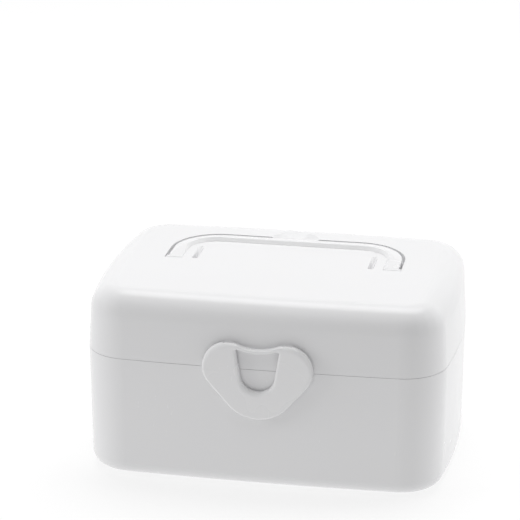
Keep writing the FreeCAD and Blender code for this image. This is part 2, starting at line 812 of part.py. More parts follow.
latch_pad = pad(latch_body, "latch_slab", latch_sketch, "latch_thick")
thumb_sketch = sketch_on(latch_body, "thumb_plan", "XZ_Plane", LATCH_REAR)
thumb_z, thumb_r, top_x = parting + size("thumb_z"), size("thumb_radius"), size("thumb_top")
bar_r = dip_r + size("latch_bar")
top_z = dip_z - math.sqrt(bar_r**2 - top_x**2)
thumb_reach = math.hypot(top_x, top_z - thumb_z)
thumb_angle = math.atan2(top_z - thumb_z, top_x) - math.acos(thumb_r / thumb_reach)
top_angle = math.acos(top_x / bar_r)
thumb_sketch.addGeometry([
    arc(0, thumb_z, thumb_r, half - thumb_angle, 2 * half + thumb_angle),
    line(on(0, thumb_z, thumb_r, thumb_angle), (top_x, top_z)),
    arc(0, dip_z, bar_r, half + top_angle, 2 * half - top_angle),
    line((-top_x, top_z), on(0, thumb_z, thumb_r, half - thumb_angle)),
], False)
rule(thumb_sketch, ("Tangent", 0, 2, 1, 1), ("Coincident", 1, 2, 2, 2), ("Coincident", 2, 1, 3, 1))
rule(thumb_sketch, ("Tangent", 3, 2, 0, 1), ("PointOnObject", 0, 3, -2), ("PointOnObject", 2, 3, -2))
rule(thumb_sketch, ("Symmetric", 2, 1, 2, 2, -2))
drive(thumb_sketch, "Radius", 0, by="thumb_radius")
drive(thumb_sketch, "Radius", 2, by="dip_radius + latch_bar")
drive(thumb_sketch, "DistanceX", 2, 1, 2, 2, by="2*thumb_top")
drive(thumb_sketch, "DistanceY", -1, 1, 0, 3, by="parting_height + thumb_z")
drive(thumb_sketch, "DistanceY", -1, 1, 2, 3, by=f"parting_height + {DIP_Z}")
thumb_hole = latch_body.newObject("PartDesign::Pocket", "thumb_hole")
thumb_hole.Profile = thumb_sketch
thumb_hole.Type = "ThroughAll"
thumb_hole.Midplane = True
latch_body.Tip = thumb_hole
DOC.recompute()
FRONT_FACE = -amount(f"{LATCH_REAR} + latch_thick")
front_edges = [
    (f"Edge{number}", rim.BoundBox)
    for number, rim in enumerate(thumb_hole.Shape.Edges, 1)
    if max(abs(rim.BoundBox.YMin - FRONT_FACE), abs(rim.BoundBox.YMax - FRONT_FACE)) < 1e-3
]
latch_rim = latch_body.newObject("PartDesign::Fillet", "latch_rim")
latch_rim.Base = (thumb_hole, [
    name for name, room in front_edges
    if max(-room.XMin, room.XMax) > top_x + 0.1 or room.ZMax > top_z + 0.1 or room.ZMax < thumb_z - thumb_r
])
latch_rim.setExpression("Radius", formula("latch_rim"))
DOC.recompute()
ear_rooms = [
    box(f"latch_ear_room_{side}", f"{side}*lobe_x",
        f"-({LATCH_REAR}) - (latch_pivot_depth + lug_radius + body_gap)/2 + wall/2",
        f"{LATCH_PIVOT_Z} - lug_radius - body_gap - fit_gap", "lug_width + 2*body_gap",
        "latch_pivot_depth + lug_radius + body_gap + wall", "lobe_radius")
    for side in (-1, 1)
]
top_relief = box("latch_top_relief", "0", f"-({LATCH_REAR})", f"{LATCH_PIVOT_Z} - lug_radius",
                 "4*lobe_radius + 4*lobe_x", "2*latch_relief", "lobe_radius")
catch_room = box("latch_catch", "0", f"-({LATCH_REAR})", "parting_height - ridge_drop - catch_height/2",
                 "ridge_width + 2*ridge_side_gap", "2*catch_depth", "catch_height")
lip_relief = box("latch_lip_relief", "0", f"-({LATCH_REAR})",
                 "parting_height - ridge_drop - 2*catch_height", "ridge_width + 2*ridge_side_gap",
                 "2*lip_relief", "2*catch_height")
latch_pin_bores = [
    rod(f"latch_bore_{side}", f"{side}*lobe_x - lug_width/2 - latch_pin_grip - fit_gap", LATCH_PIVOT_Y,
        LATCH_PIVOT_Z, "latch_pin_radius + fit_gap", "lug_width + 2*latch_pin_grip + 2*fit_gap", "x")
    for side in (-1, 1)
]
piece("latch", cut("latch", latch_body, *ear_rooms, top_relief, catch_room, lip_relief, *latch_pin_bores))
piece("latch_pins", group("latch_pins", *[
    rod(f"latch_pin_{side}", f"{side}*lobe_x - lug_width/2 - latch_pin_grip", LATCH_PIVOT_Y, LATCH_PIVOT_Z,
        "latch_pin_radius", "lug_width + 2*latch_pin_grip", "x")
    for side in (-1, 1)
]))

# ---- base ----
base_skin = cut(
    "base_skin",
    case_form("base_outside", "0", "parting_height", "parting_height - foot_proud", "base_draft",
              "bottom_round", down=True),
    case_form("base_hollow", "wall", "parting_height + wall", f"parting_height + wall - {FLOOR}",
              "base_draft", "bottom_chamfer", "Chamfer", down=True),
)
lip = cut(
    "case_lip",
    case_form("lip_outside", "wall - lip_thick", "parting_height - lip_height", "2*lip_height"),
    case_form("lip_inside", "wall", "parting_height - 2*lip_height", "4*lip_height"),
)
knuckle_notches = hinge_row("knuckle_notch", [
    (side, "-lid_knuckle/2 - body_gap", "lid_knuckle + 2*body_gap", "barrel_radius + body_gap")
    for side in (-1, 1)
])
base_knuckles = hinge_row("base_knuckle", [
    (side, start, "base_knuckle", "barrel_radius")
    for side in (-1, 1)
    for start in (f"-{HINGE_GROUP}/2", f"{HINGE_GROUP}/2 - base_knuckle")
])
base_webs = [
    box(f"base_web_{side}_{end}",
        f"{side}*hinge_spacing/2 + {end}*({HINGE_GROUP} - base_knuckle)/2",
        f"{HINGE_Y} - (hinge_offset + wall)/2", "parting_height - barrel_radius - hinge_rib",
        "base_knuckle", "hinge_offset + wall", "barrel_radius + hinge_rib")
    for side in (-1, 1)
    for end in (-1, 1)
]
base_pin_bores = hinge_row("base_pin_bore", [
    (side, f"-{HINGE_GROUP}", f"2*{HINGE_GROUP}", "hinge_pin_radius + fit_gap") for side in (-1, 1)
])
corners = [(side, end) for side in (-1, 1) for end in (-1, 1)]
posts = [
    rod(f"deck_post_{side}_{end}", f"{side}*post_x", f"{end}*post_y", f"{FLOOR} - foot_thick/2",
        "post_radius", f"{DECK_UNDER} - {FLOOR} + foot_thick/2")
    for side, end in corners
]
post_bores = [
    rod(f"post_bore_{side}_{end}", f"{side}*post_x", f"{end}*post_y", f"{DECK} - screw_bite - overcut",
        "screw_radius + fit_gap", "screw_bite")
    for side, end in corners
]
plate_posts = [
    rod(f"plate_post_{side}", f"spindle_x + {side}*plate_post", "spindle_y", f"{FLOOR} - foot_thick/2",
        "post_radius", f"{PLATE_UNDER} - {FLOOR} + foot_thick/2")
    for side in (-1, 1)
]
plate_post_bores = [
    rod(f"plate_post_bore_{side}", f"spindle_x + {side}*plate_post", "spindle_y",
        f"{PLATE_TOP} - screw_bite - overcut", "screw_radius + fit_gap", "screw_bite")
    for side in (-1, 1)
]
foot_rooms = [
    rod(f"foot_room_{side}_{end}", f"{side}*post_x", f"{end}*post_y", "foot_proud - foot_thick",
        "foot_radius + fit_gap", "3*foot_thick/2")
    for side, end in corners
]
catch_ridge = rod("catch_ridge", "-ridge_width/2", "-case_depth/2 + ridge_radius/3",
                  "parting_height - ridge_drop", "ridge_radius", "ridge_width", "x")
door_room = box("door_room", "bay_x - door_travel/2 - door_edge_gap/2", "0", "foot_proud - wall",
                f"{DOOR_LENGTH} + door_travel + 3*door_edge_gap", f"{DOOR_WIDTH} + 2*door_edge_gap",
                "wall + door_thick + door_gap")
bay_mouth = box("bay_mouth", "bay_x", "0", "0", "bay_length", "bay_width", "3*wall")
jack_hole = rod("jack_hole", "jack_x", f"{JACK_WALL} - 2*wall", "jack_z", "jack_radius + fit_gap",
                "3*wall", "y")
base_wall = cut("base_wall", fuse("base_tub", base_skin, lip, *posts, *plate_posts, catch_ridge),
                *knuckle_notches)
piece("base_shell", cut(
    "base_shell", fuse("base_body", base_wall, *base_knuckles, *base_webs), *base_pin_bores,
    *post_bores, *plate_post_bores, *foot_rooms, door_room, bay_mouth, jack_hole,
))
piece("hinge_pins", group("hinge_pins", *hinge_row("hinge_pin", [
    (side, f"-{HINGE_GROUP}/2 + hinge_pin_inset", f"{HINGE_GROUP} - 2*hinge_pin_inset", "hinge_pin_radius")
    for side in (-1, 1)
])))
piece("rubber_feet", group("rubber_feet", *[
    rod(f"rubber_foot_{side}_{end}", f"{side}*post_x", f"{end}*post_y", "0", "foot_radius", "foot_thick")
    for side, end in corners
]))

# ---- battery bay ----
hooks = [
    fuse(
        f"door_hook_{side}",
        box(f"hook_neck_{side}", "bay_x + bay_length/2 - door_edge_gap - hook_neck/2", f"{side}*hook_y",
            "foot_proud + door_thick/2", "hook_neck", "hook_width",
            "wall - door_thick/2 + door_edge_gap + hook_thick"),
        box(f"hook_tongue_{side}", "bay_x + bay_length/2 - door_edge_gap - hook_neck/2 + hook_reach/2",
            f"{side}*hook_y", f"{FLOOR} + door_edge_gap", "hook_neck + hook_reach", "hook_width",
            "hook_thick"),
    )
    for side in (-1, 1)
]
grip_grooves = [
    box(f"grip_groove_{number}", f"bay_x - bay_length/2 + {number}*2*grip_groove_width + door_lap", "0",
        "foot_proud - grip_groove", "grip_groove_width", f"{DOOR_WIDTH}/2", "2*grip_groove")
    for number in range(4)
]
piece("battery_door", cut(
    "battery_door",
    fuse("door_panel", box("door_slab", "bay_x", "0", "foot_proud", DOOR_LENGTH, DOOR_WIDTH, "door_thick"),
         *hooks),
    *grip_grooves,
))
piece("battery_tray", cut(
    "battery_tray",
    box("tray_outside", "bay_x", "0", FLOOR, "tray_length", "tray_width", "tray_height"),
    box("tray_inside", "bay_x", "0", f"{FLOOR} - wall", "tray_length - 2*tray_wall",
        "tray_width - 2*tray_wall", "tray_height - tray_wall + wall"),
))
TRAY_END = "(tray_length/2 - tray_wall)"
piece("battery_springs", group("battery_springs", *[
    fuse(
        f"battery_spring_{side}",
        box(f"spring_back_{side}", f"bay_x - {TRAY_END} + leaf_thick/2", f"{side}*cell_y",
            "cell_z - plate_size/2", "leaf_thick", "leaf_width", "plate_size"),
        box(f"spring_foot_{side}", f"bay_x - {TRAY_END} + leaf_rise/2", f"{side}*cell_y",
            "cell_z - plate_size/2", "leaf_rise", "leaf_width", "leaf_thick"),
        box(f"spring_face_{side}", f"bay_x - {TRAY_END} + leaf_rise - leaf_thick/2", f"{side}*cell_y",
            "cell_z - plate_size/2", "leaf_thick", "leaf_width", "plate_size - leaf_rise/2"),
    )
    for side in (-1, 1)
]))
piece("battery_plates", group("battery_plates", *[
    box(f"battery_plate_{side}", f"bay_x + {TRAY_END} - leaf_thick/2", f"{side}*cell_y",
        "cell_z - plate_size/2", "leaf_thick", "plate_size", "plate_size")
    for side in (-1, 1)
]))

# ---- power inlet ----
JACK_BACK = f"({JACK_WALL} - wall - jack_stand)"
jack_pin = rod("jack_pin", "jack_x", f"{JACK_WALL} + jack_reach - jack_socket - leaf_thick", "jack_z",
               "jack_pin_radius", "jack_pin_length", "y")
piece("dc_jack", fuse(
    "dc_jack",
    cut("jack_case",
        fuse("jack_block",
             box("jack_housing", "jack_x", f"{JACK_BACK} - jack_length/2", "jack_z - jack_height/2",
                 "jack_width", "jack_length", "jack_height"),
             rod("jack_barrel", "jack_x", f"{JACK_BACK} - wall", "jack_z", "jack_radius",
                 "2*wall + jack_reach", "y")),
        rod("jack_socket_bore", "jack_x", f"{JACK_WALL} + jack_reach - jack_socket", "jack_z", "jack_bore",
            "2*jack_socket", "y")),
    jack_pin,
))
piece("jack_nut", tube("jack_nut", "jack_x", f"{JACK_WALL} + jack_stand", "jack_z", "nut_radius",
                       "jack_radius + fit_gap", "nut_thick", "y"))

# ---- deck ----
deck_screw_places = [(f"{side}*post_x", f"{end}*post_y") for side, end in corners]
plate_screw_places = [(f"spindle_x + {side}*plate_post", "spindle_y") for side in (-1, 1)]
motor_screw_places = [(f"spindle_x + {side}*motor_screw", MOTOR_Y) for side in (-1, 1)]


def screws(name, places, z, radius, bite, head_radius, head):
    """Pan head screws whose heads stand on z, each with a straight drive slot."""
    made = []
    for number, (x, y) in enumerate(places):
        made.append(cut(
            f"{name}_{number}",
            fuse(f"{name}_body_{number}",
                 rod(f"{name}_shank_{number}", x, y, f"{z} - {bite}", radius, bite),
                 rod(f"{name}_head_{number}", x, y, z, head_radius, head)),
            box(f"{name}_slot_{number}", x, y, f"{z} + {head}/2", f"2*{head_radius}", "drive_width", head),
        ))
    return piece(name, group(name, *made))


deck_slab = case_form("deck_slab", "deck_inset", DECK_UNDER, "deck_thick")
switch_rib = box("switch_rib", "switch_x + switch_thick + rib_thick/2", "switch_y",
                 f"{DECK_UNDER} - switch_height", "rib_thick", "switch_length",
                 "switch_height + deck_thick/2")
deck_holes = [
    rod(f"deck_screw_hole_{number}", x, y, f"{DECK_UNDER} - overcut", "screw_radius + fit_gap",
        "2*deck_thick")
    for number, (x, y) in enumerate(deck_screw_places)
]
deck_holes += [
    rod("bush_hole", "spindle_x", "spindle_y", f"{DECK_UNDER} - overcut", "bush_radius + fit_gap",
        "2*deck_thick"),
    rod("lever_hole", "lever_x", "lever_y", f"{DECK_UNDER} - overcut", "lever_shaft_radius + running_gap",
        "2*deck_thick"),
    rod("spool_hole", "spool_x", "spool_y", f"{DECK_UNDER} - overcut", "peg_radius + fit_gap",
        "2*deck_thick"),
    rod("tension_hole", "tension_x", "tension_y", f"{DECK_UNDER} - overcut", "peg_radius + fit_gap",
        "2*deck_thick"),
    rod("guide_hole", "guide_x", "guide_y", f"{DECK_UNDER} - overcut", "guide_stem + fit_gap",
        "2*deck_thick"),
]
screw_bores = [
    rod(f"switch_rib_bore_{end}", "switch_x + switch_thick - overcut", f"switch_y + {end}*switch_screw",
        SWITCH_SCREW_Z, "small_screw_radius + fit_gap", "2*rib_thick", "x")
    for end in (-1, 1)
]
piece("deck_plate", cut("deck_plate", fuse("deck_blank", deck_slab, switch_rib), *deck_holes, *screw_bores))
screws("deck_screws", deck_screw_places, DECK, "screw_radius", "screw_bite", "screw_head_radius",
       "screw_head")

# ---- thread path ----
FELT_TOP = f"({DECK} + spool_flange + felt_thick)"
SPOOL_TIP_Z = f"({DECK} + spool_pin_height - spool_tip)"
piece("spool_pin", fuse(
    "spool_pin",
    rod("spool_flange_disc", "spool_x", "spool_y", DECK, "spool_flange_radius", "spool_flange"),
    rod("spool_boss", "spool_x", "spool_y", DECK, "spool_boss_radius", "spool_flange + felt_thick"),
    cone("spool_lead", "spool_x", "spool_y", FELT_TOP, "spool_boss_radius", "spool_pin_radius",
         "spool_boss_lead"),
    rod("spool_stem", "spool_x", "spool_y", DECK, "spool_pin_radius", "spool_pin_height - spool_tip"),
    cone("spool_end", "spool_x", "spool_y", SPOOL_TIP_Z, "spool_pin_radius", "spool_tip_radius",
         "spool_tip"),
    rod("spool_peg", "spool_x", "spool_y", f"{DECK_UNDER} + fit_gap", "peg_radius", "deck_thick"),
))
piece("spool_felt", tube("spool_felt", "spool_x", "spool_y", f"{DECK} + spool_flange", "felt_radius",
                         "spool_boss_radius + fit_gap", "felt_thick"))
KNOB_Z = f"({DISCS} + disc_gap + disc_thick + spring_length + body_gap)"
piece("tension_post", fuse(
    "tension_post",
    rod("tension_foot", "tension_x", "tension_y", DECK, "tension_base_radius", "tension_base"),
    rod("tension_collar", "tension_x", "tension_y", DECK, "disc_land", "disc_height - disc_thick"),
    rod("tension_stem", "tension_x", "tension_y", DECK, "tension_post_radius",
        f"{KNOB_Z} - {DECK} + knob_height + body_gap + rivet_height"),
    rod("tension_rivet", "tension_x", "tension_y", f"{KNOB_Z} + knob_height + body_gap", "rivet_radius",
        "rivet_height"),
    rod("tension_peg", "tension_x", "tension_y", f"{DECK_UNDER} + fit_gap", "peg_radius", "deck_thick"),
))


def tension_disc(node, rim_z, low_radius, high_radius, shift):
    """A thin dished disc: a cone less the same cone moved along the post, with a hole."""
    height = "disc_dish + disc_thick"
    return piece(node, cut(
        node,
        cone(node + "_cone", "tension_x", "tension_y", rim_z, low_radius, high_radius, height),
        cone(node + "_hollow", "tension_x", "tension_y", f"{rim_z} + {shift}", low_radius, high_radius,
             height),
        rod(node + "_hole", "tension_x", "tension_y", f"{rim_z} - overcut",
            "tension_post_radius + running_gap", "2*disc_land"),
    ))


tension_disc("tension_disc_lower", f"{DISCS} - disc_dish - disc_thick", "disc_radius", "disc_land",
             "(-disc_thick)")
tension_disc("tension_disc_upper", f"{DISCS} + disc_gap", "disc_land", "disc_radius", "disc_thick")
helix = DOC.addObject("Part::Helix", "spring_path")
bind(helix, Pitch="(spring_length - spring_wire)/spring_turns", Height="spring_length - spring_wire",
     Radius="spring_radius")
put(helix, "tension_x", "tension_y", f"{DISCS} + disc_gap + disc_thick + spring_wire/2")
wire = DOC.addObject("Part::Plane", "spring_section")
bind(wire, Length="spring_wire", Width="spring_wire")
wire.Placement.Rotation = TURNS["y"]
put(wire, "tension_x + spring_radius - spring_wire/2", "tension_y",
    f"{DISCS} + disc_gap + disc_thick + spring_wire")
DOC.recompute()
coil = DOC.addObject("Part::Sweep", "spring_coil")
coil.Sections = [wire]
coil.Spine = (helix, ["Edge1"])
coil.Solid = True
coil.Frenet = True
piece("tension_spring", coil)
flutes = [
    rod(f"knob_flute_{number}", f"tension_x + (knob_radius + knob_flute/2)*cos({number * 45})",
        f"tension_y + (knob_radius + knob_flute/2)*sin({number * 45})", f"{KNOB_Z} - overcut", "knob_flute",
        "knob_height + 2*overcut")
    for number in range(8)
]
piece("tension_knob", cut(
    "tension_knob",
    rod("knob_blank", "tension_x", "tension_y", KNOB_Z, "knob_radius", "knob_height"),
    rod("knob_bore", "tension_x", "tension_y", f"{KNOB_Z} - overcut", "tension_post_radius + running_gap",
        "knob_height + 2*overcut"),
    *flutes,
))
piece("thread_guide", cut(
    "thread_guide",
    fuse("guide_body",
         rod("guide_stem_rod", "guide_x", "guide_y", f"{DECK_UNDER} + fit_gap", "guide_stem",
             "guide_height - guide_eye/2 + deck_thick - fit_gap"),
         rod("guide_collar", "guide_x", "guide_y", DECK, "2*guide_stem", "guide_thick"),
         rod("guide_loop", "guide_x", "guide_y - guide_thick/2", f"{DECK} + guide_height + guide_ring/2",
             "guide_ring", "guide_thick", "y")),
    rod("guide_hole_eye", "guide_x", "guide_y - guide_thick", f"{DECK} + guide_height + guide_ring/2",
        "guide_eye", "2*guide_thick", "y"),
))
piece("thread_cutter", cut(
    "thread_cutter",
    box("cutter_block", "cutter_x", "cutter_y", DECK, "cutter_length", "cutter_width", "cutter_height"),
    box("cutter_gap", "cutter_x", "cutter_y", f"{DECK} + cutter_height - cutter_slot_depth",
        "2*cutter_length", "cutter_slot", "2*cutter_slot_depth"),
))
piece("cutter_blade", box(
    "cutter_blade", "cutter_x", "cutter_y - cutter_slot/2 + blade_thick/2",
    f"{DECK} + cutter_height - cutter_slot_depth", "blade_length", "blade_thick", "blade_height",
))

# ---- winder ----


def gear(name, teeth_alias, x, y, bore, turn):
    """A spur gear with involute flanks drawn by straight chords, centred on its shaft."""
    module, teeth = size("gear_pitch"), round(size(teeth_alias))
    lean = math.radians(size("pressure_angle"))
    pitch = module * teeth / 2
    base = pitch * math.cos(lean)
    root, tip = pitch - size("root_depth"), pitch + size("tooth_height")
    width = math.pi / (2 * teeth) - size("backlash") / (2 * pitch)

    def flank(distance):
        if distance <= base:
            return width + math.tan(lean) - lean
        slope = math.acos(base / distance)
        return width + math.tan(lean) - lean - (math.tan(slope) - slope)

    ring = sorted({root, max(root, base), (max(root, base) + tip) / 2, tip})
    points = []
    for tooth in range(teeth):
        middle = math.radians(turn) + 2 * math.pi * tooth / teeth
        side = [(distance, middle - flank(distance)) for distance in ring]
        side += [(distance, middle + flank(distance)) for distance in reversed(ring)]
        points += [
            VEC(distance * math.cos(angle), distance * math.sin(angle), 0) for distance, angle in side
        ]
    wheel = DOC.addObject("Part::Feature", name + "_teeth")
    wheel.Shape = Part.Face(Part.makePolygon(points + points[:1])).extrude(VEC(0, 0, size("gear_thick")))
    put(wheel, x, y, f"{GEAR_TOP} - gear_thick")
    return cut(name, wheel, rod(name + "_bore", x, y, f"{GEAR_TOP} - 2*gear_thick", bore, "3*gear_thick"))


SPINDLE_TAIL = f"({PLATE_TOP} - lower_bush_length - circlip_thick - spindle_tail)"
CIRCLIP_Z = f"({PLATE_TOP} - lower_bush_length - circlip_thick - running_gap)"
SEAT_TOP = f"({DECK} + seat_top)"
SPINDLE_TIP_Z = f"({DECK} + spindle_top - spindle_tip)"
piece("bobbin_spindle", cut(
    "bobbin_spindle",
    fuse("spindle_body",
         rod("spindle_shaft", "spindle_x", "spindle_y", SPINDLE_TAIL, "spindle_shaft_radius",
             f"{SEAT_TOP} - {SPINDLE_TAIL}"),
         cone("spindle_lead_in", "spindle_x", "spindle_y", SEAT_TOP, "spindle_shaft_radius",
              "spindle_radius", "spindle_lead"),
         rod("spindle_post", "spindle_x", "spindle_y", f"{SEAT_TOP} + spindle_lead", "spindle_radius",
             f"{SPINDLE_TIP_Z} - {SEAT_TOP} - spindle_lead"),
         cone("spindle_end", "spindle_x", "spindle_y", SPINDLE_TIP_Z, "spindle_radius",
              "spindle_tip_radius", "spindle_tip")),
    tube("spindle_groove", "spindle_x", "spindle_y", CIRCLIP_Z, "2*spindle_shaft_radius",
         "spindle_shaft_radius - circlip_groove", "circlip_thick"),
))
piece("spindle_circlip", tube("spindle_circlip", "spindle_x", "spindle_y", CIRCLIP_Z, "circlip_radius",
                              "spindle_shaft_radius - circlip_groove", "circlip_thick"))
piece("spindle_bush_lower", tube("spindle_bush_lower", "spindle_x", "spindle_y",
                                 f"{PLATE_TOP} - lower_bush_length", "bush_radius",
                                 "spindle_shaft_radius + running_gap", "lower_bush_length"))
piece("spindle_bush_upper", cut(
    "spindle_bush_upper",
    fuse("bush_body",
         rod("bush_barrel", "spindle_x", "spindle_y", f"{DECK_UNDER} - bush_drop", "bush_radius",
             "deck_thick + bush_drop"),
         rod("bush_flange_disc", "spindle_x", "spindle_y", DECK, "bush_flange_radius", "bush_flange")),
    rod("bush_bore", "spindle_x", "spindle_y", f"{DECK_UNDER} - 2*bush_drop",
        "spindle_shaft_radius + running_gap", "2*deck_thick"),
))
piece("bobbin_seat", cut(
    "bobbin_seat",
    fuse("seat_body",
         rod("seat_disc", "spindle_x", "spindle_y", f"{DECK} + seat_top - seat_thick", "seat_radius",
             "seat_thick"),
         rod("seat_hub", "spindle_x", "spindle_y", f"{DECK} + bush_flange + body_gap", "seat_hub_radius",
             "seat_top - bush_flange - body_gap")),
    rod("seat_bore", "spindle_x", "spindle_y", DECK, "spindle_shaft_radius + fit_gap", "2*seat_top"),
))
piece("spindle_gear", gear("spindle_gear", "spindle_teeth", "spindle_x", "spindle_y",
                           "spindle_shaft_radius + fit_gap", -90))
piece("motor_pinion", gear("motor_pinion", "motor_teeth", "spindle_x", MOTOR_Y,
                           "motor_shaft_radius + fit_gap", 90 + 180 / size("motor_teeth")))
MOTOR_BOTTOM = f"({PLATE_UNDER} - motor_length)"


def motor_slice(name, start, length):
    return common(
        name,
        rod(name + "_round", "spindle_x", MOTOR_Y, start, "motor_radius", length),
        box(name + "_flats", "spindle_x", MOTOR_Y, start, "3*motor_radius", "2*motor_flat", length),
    )


piece("motor_can", cut(
    "motor_can",
    fuse("can_body", motor_slice("can", f"{MOTOR_BOTTOM} + endcap_length", "motor_length - endcap_length"),
         rod("can_boss", "spindle_x", MOTOR_Y, PLATE_UNDER, "motor_boss_radius", "motor_boss")),
    rod("can_bore", "spindle_x", MOTOR_Y, MOTOR_BOTTOM, "motor_shaft_radius + running_gap",
        "2*motor_length"),
    *[rod(f"can_screw_bore_{number}", x, y, f"{PLATE_UNDER} - screw_bite/2", "small_screw_radius + fit_gap",
          "screw_bite")
      for number, (x, y) in enumerate(motor_screw_places)],
))
piece("motor_endcap", cut(
    "motor_endcap",
    motor_slice("endcap", MOTOR_BOTTOM, "endcap_length"),
    rod("endcap_bore", "spindle_x", MOTOR_Y, f"{MOTOR_BOTTOM} + terminal_thick",
        "motor_shaft_radius + running_gap", "motor_length"),
))
piece("motor_terminals", group("motor_terminals", *[
    box(f"motor_terminal_{side}", f"spindle_x + {side}*motor_screw/2",
        f"{MOTOR_Y} - motor_flat - terminal_length/2", f"{MOTOR_BOTTOM} + endcap_length/2",
        "terminal_width", "terminal_length", "terminal_thick")
    for side in (-1, 1)
]))
piece("motor_shaft", rod("motor_shaft", "spindle_x", MOTOR_Y, f"{MOTOR_BOTTOM} + 2*terminal_thick",
                         "motor_shaft_radius",
                         f"{GEAR_TOP} + gear_gap/4 - {MOTOR_BOTTOM} - 2*terminal_thick"))
piece("motor_plate", cut(
    "motor_plate",
    box("plate_blank", "spindle_x", "spindle_y - plate_shift", PLATE_UNDER, "2*plate_half_width",
        "plate_depth", "plate_thick"),
    rod("plate_bush_hole", "spindle_x", "spindle_y", f"{PLATE_UNDER} - overcut", "bush_radius + fit_gap",
        "3*plate_thick"),
    rod("plate_boss_hole", "spindle_x", MOTOR_Y, f"{PLATE_UNDER} - overcut", "motor_boss_radius + fit_gap",
        "3*plate_thick"),
    *[rod(f"plate_hole_{number}", x, y, f"{PLATE_UNDER} - overcut", "screw_radius + fit_gap",
          "3*plate_thick")
      for number, (x, y) in enumerate(plate_screw_places)],
    *[rod(f"plate_small_hole_{number}", x, y, f"{PLATE_UNDER} - overcut", "small_screw_radius + fit_gap",
          "3*plate_thick")
      for number, (x, y) in enumerate(motor_screw_places)],
))
screws("plate_screws", plate_screw_places, PLATE_TOP, "screw_radius", "screw_bite", "screw_head_radius",
       "screw_head")
screws("motor_screws", motor_screw_places, PLATE_TOP, "small_screw_radius", "screw_bite/2",
       "small_head_radius", "small_head")

# ---- stop lever ----
ARM_Z = f"({DECK} + lever_arm_height)"
ARM_DX = "(finger_x - lever_x)"
ARM_DY = "(spindle_y - lever_y)"
ARM_SPAN = f"sqrt({ARM_DX}^2 + {ARM_DY}^2)"
arm_bar = DOC.addObject("Part::Box", "lever_bar")
bind(arm_bar, Length=ARM_SPAN, Width="lever_arm_width", Height="lever_arm_thick")
arm_bar.Placement.Rotation = FreeCAD.Rotation(VEC(0, 0, 1), 1)
arm_bar.setExpression("Placement.Rotation.Angle", formula(f"atan2({ARM_DY}; {ARM_DX})"))
put(arm_bar, f"lever_x + lever_arm_width/2*{ARM_DY}/{ARM_SPAN}",
    f"lever_y - lever_arm_width/2*{ARM_DX}/{ARM_SPAN}", ARM_Z)
piece("stop_lever", cut(
    "stop_lever",
    fuse("lever_body",
         rod("lever_hub", "lever_x", "lever_y", f"{DECK} + body_gap", "lever_hub_radius",
             "lever_arm_height + lever_arm_thick - body_gap"),
         arm_bar,
         rod("lever_end", "finger_x", "spindle_y", ARM_Z, "lever_arm_width/2", "lever_arm_thick"),
         rod("lever_finger", "finger_x", "spindle_y", f"{DECK} + finger_bottom", "finger_radius",
             "lever_arm_height - finger_bottom + lever_arm_thick/2"),
         box("lever_tab", "lever_x + tab_length/2", "lever_y", f"{ARM_Z} + lever_arm_thick/2",
             "tab_length", "tab_thick", "tab_height + lever_arm_thick/2")),
    rod("lever_bore", "lever_x", "lever_y", DECK, "lever_shaft_radius + fit_gap", "lever_arm_height"),
))
piece("lever_tip", tube("lever_tip", "finger_x", "spindle_y", f"{DECK} + sleeve_bottom", "sleeve_radius",
                        "finger_radius + fit_gap", "sleeve_length"))
SWITCH_ARM_Z = f"({DECK_UNDER} - switch_arm_drop - switch_arm_thick)"
piece("lever_shaft", rod("lever_shaft", "lever_x", "lever_y", SWITCH_ARM_Z, "lever_shaft_radius",
                         f"{ARM_Z} - {SWITCH_ARM_Z} - fit_gap"))
piece("switch_arm", cut(
    "switch_arm",
    fuse("switch_arm_body",
         rod("switch_arm_hub", "lever_x", "lever_y", SWITCH_ARM_Z, "2*lever_shaft_radius",
             "switch_arm_thick"),
         box("switch_arm_bar", "lever_x", "lever_y - switch_arm_length/2", SWITCH_ARM_Z,
             "switch_arm_width", "switch_arm_length", "switch_arm_thick")),
    rod("switch_arm_bore", "lever_x", "lever_y", f"{SWITCH_ARM_Z} - overcut",
        "lever_shaft_radius + fit_gap", "2*switch_arm_thick"),
))
PLUNGER_Z = f"({SWITCH_ARM_Z} + running_gap)"
piece("microswitch", cut(
    "microswitch",
    box("switch_case", "switch_x + switch_thick/2", "switch_y", f"{DECK_UNDER} - switch_height",
        "switch_thick", "switch_length", "switch_height - fit_gap"),
    box("plunger_room", "switch_x", "plunger_y", f"{PLUNGER_Z} - running_gap",
        "2*(plunger_bury + plunger_travel + body_gap)", "plunger_width + 2*running_gap",
        "switch_arm_thick"),
    *[rod(f"switch_bore_{end}", "switch_x - overcut", f"switch_y + {end}*switch_screw", SWITCH_SCREW_Z,
          "small_screw_radius + fit_gap", "2*switch_thick", "x")
      for end in (-1, 1)],
))
piece("switch_plunger", box("switch_plunger", "switch_x + (plunger_bury - plunger_proud)/2", "plunger_y",
                            PLUNGER_Z, "plunger_proud + plunger_bury", "plunger_width",
                            "switch_arm_thick - 2*running_gap"))
piece("switch_screws", group("switch_screws", *[
    fuse(
        f"switch_screw_{end}",
        rod(f"switch_shank_{end}", "switch_x", f"switch_y + {end}*switch_screw", SWITCH_SCREW_Z,
            "small_screw_radius", "switch_thick + rib_thick", "x"),
        rod(f"switch_head_{end}", "switch_x - small_head", f"switch_y + {end}*switch_screw",
            SWITCH_SCREW_Z, "small_head_radius", "small_head", "x"),
    )
    for end in (-1, 1)
]))

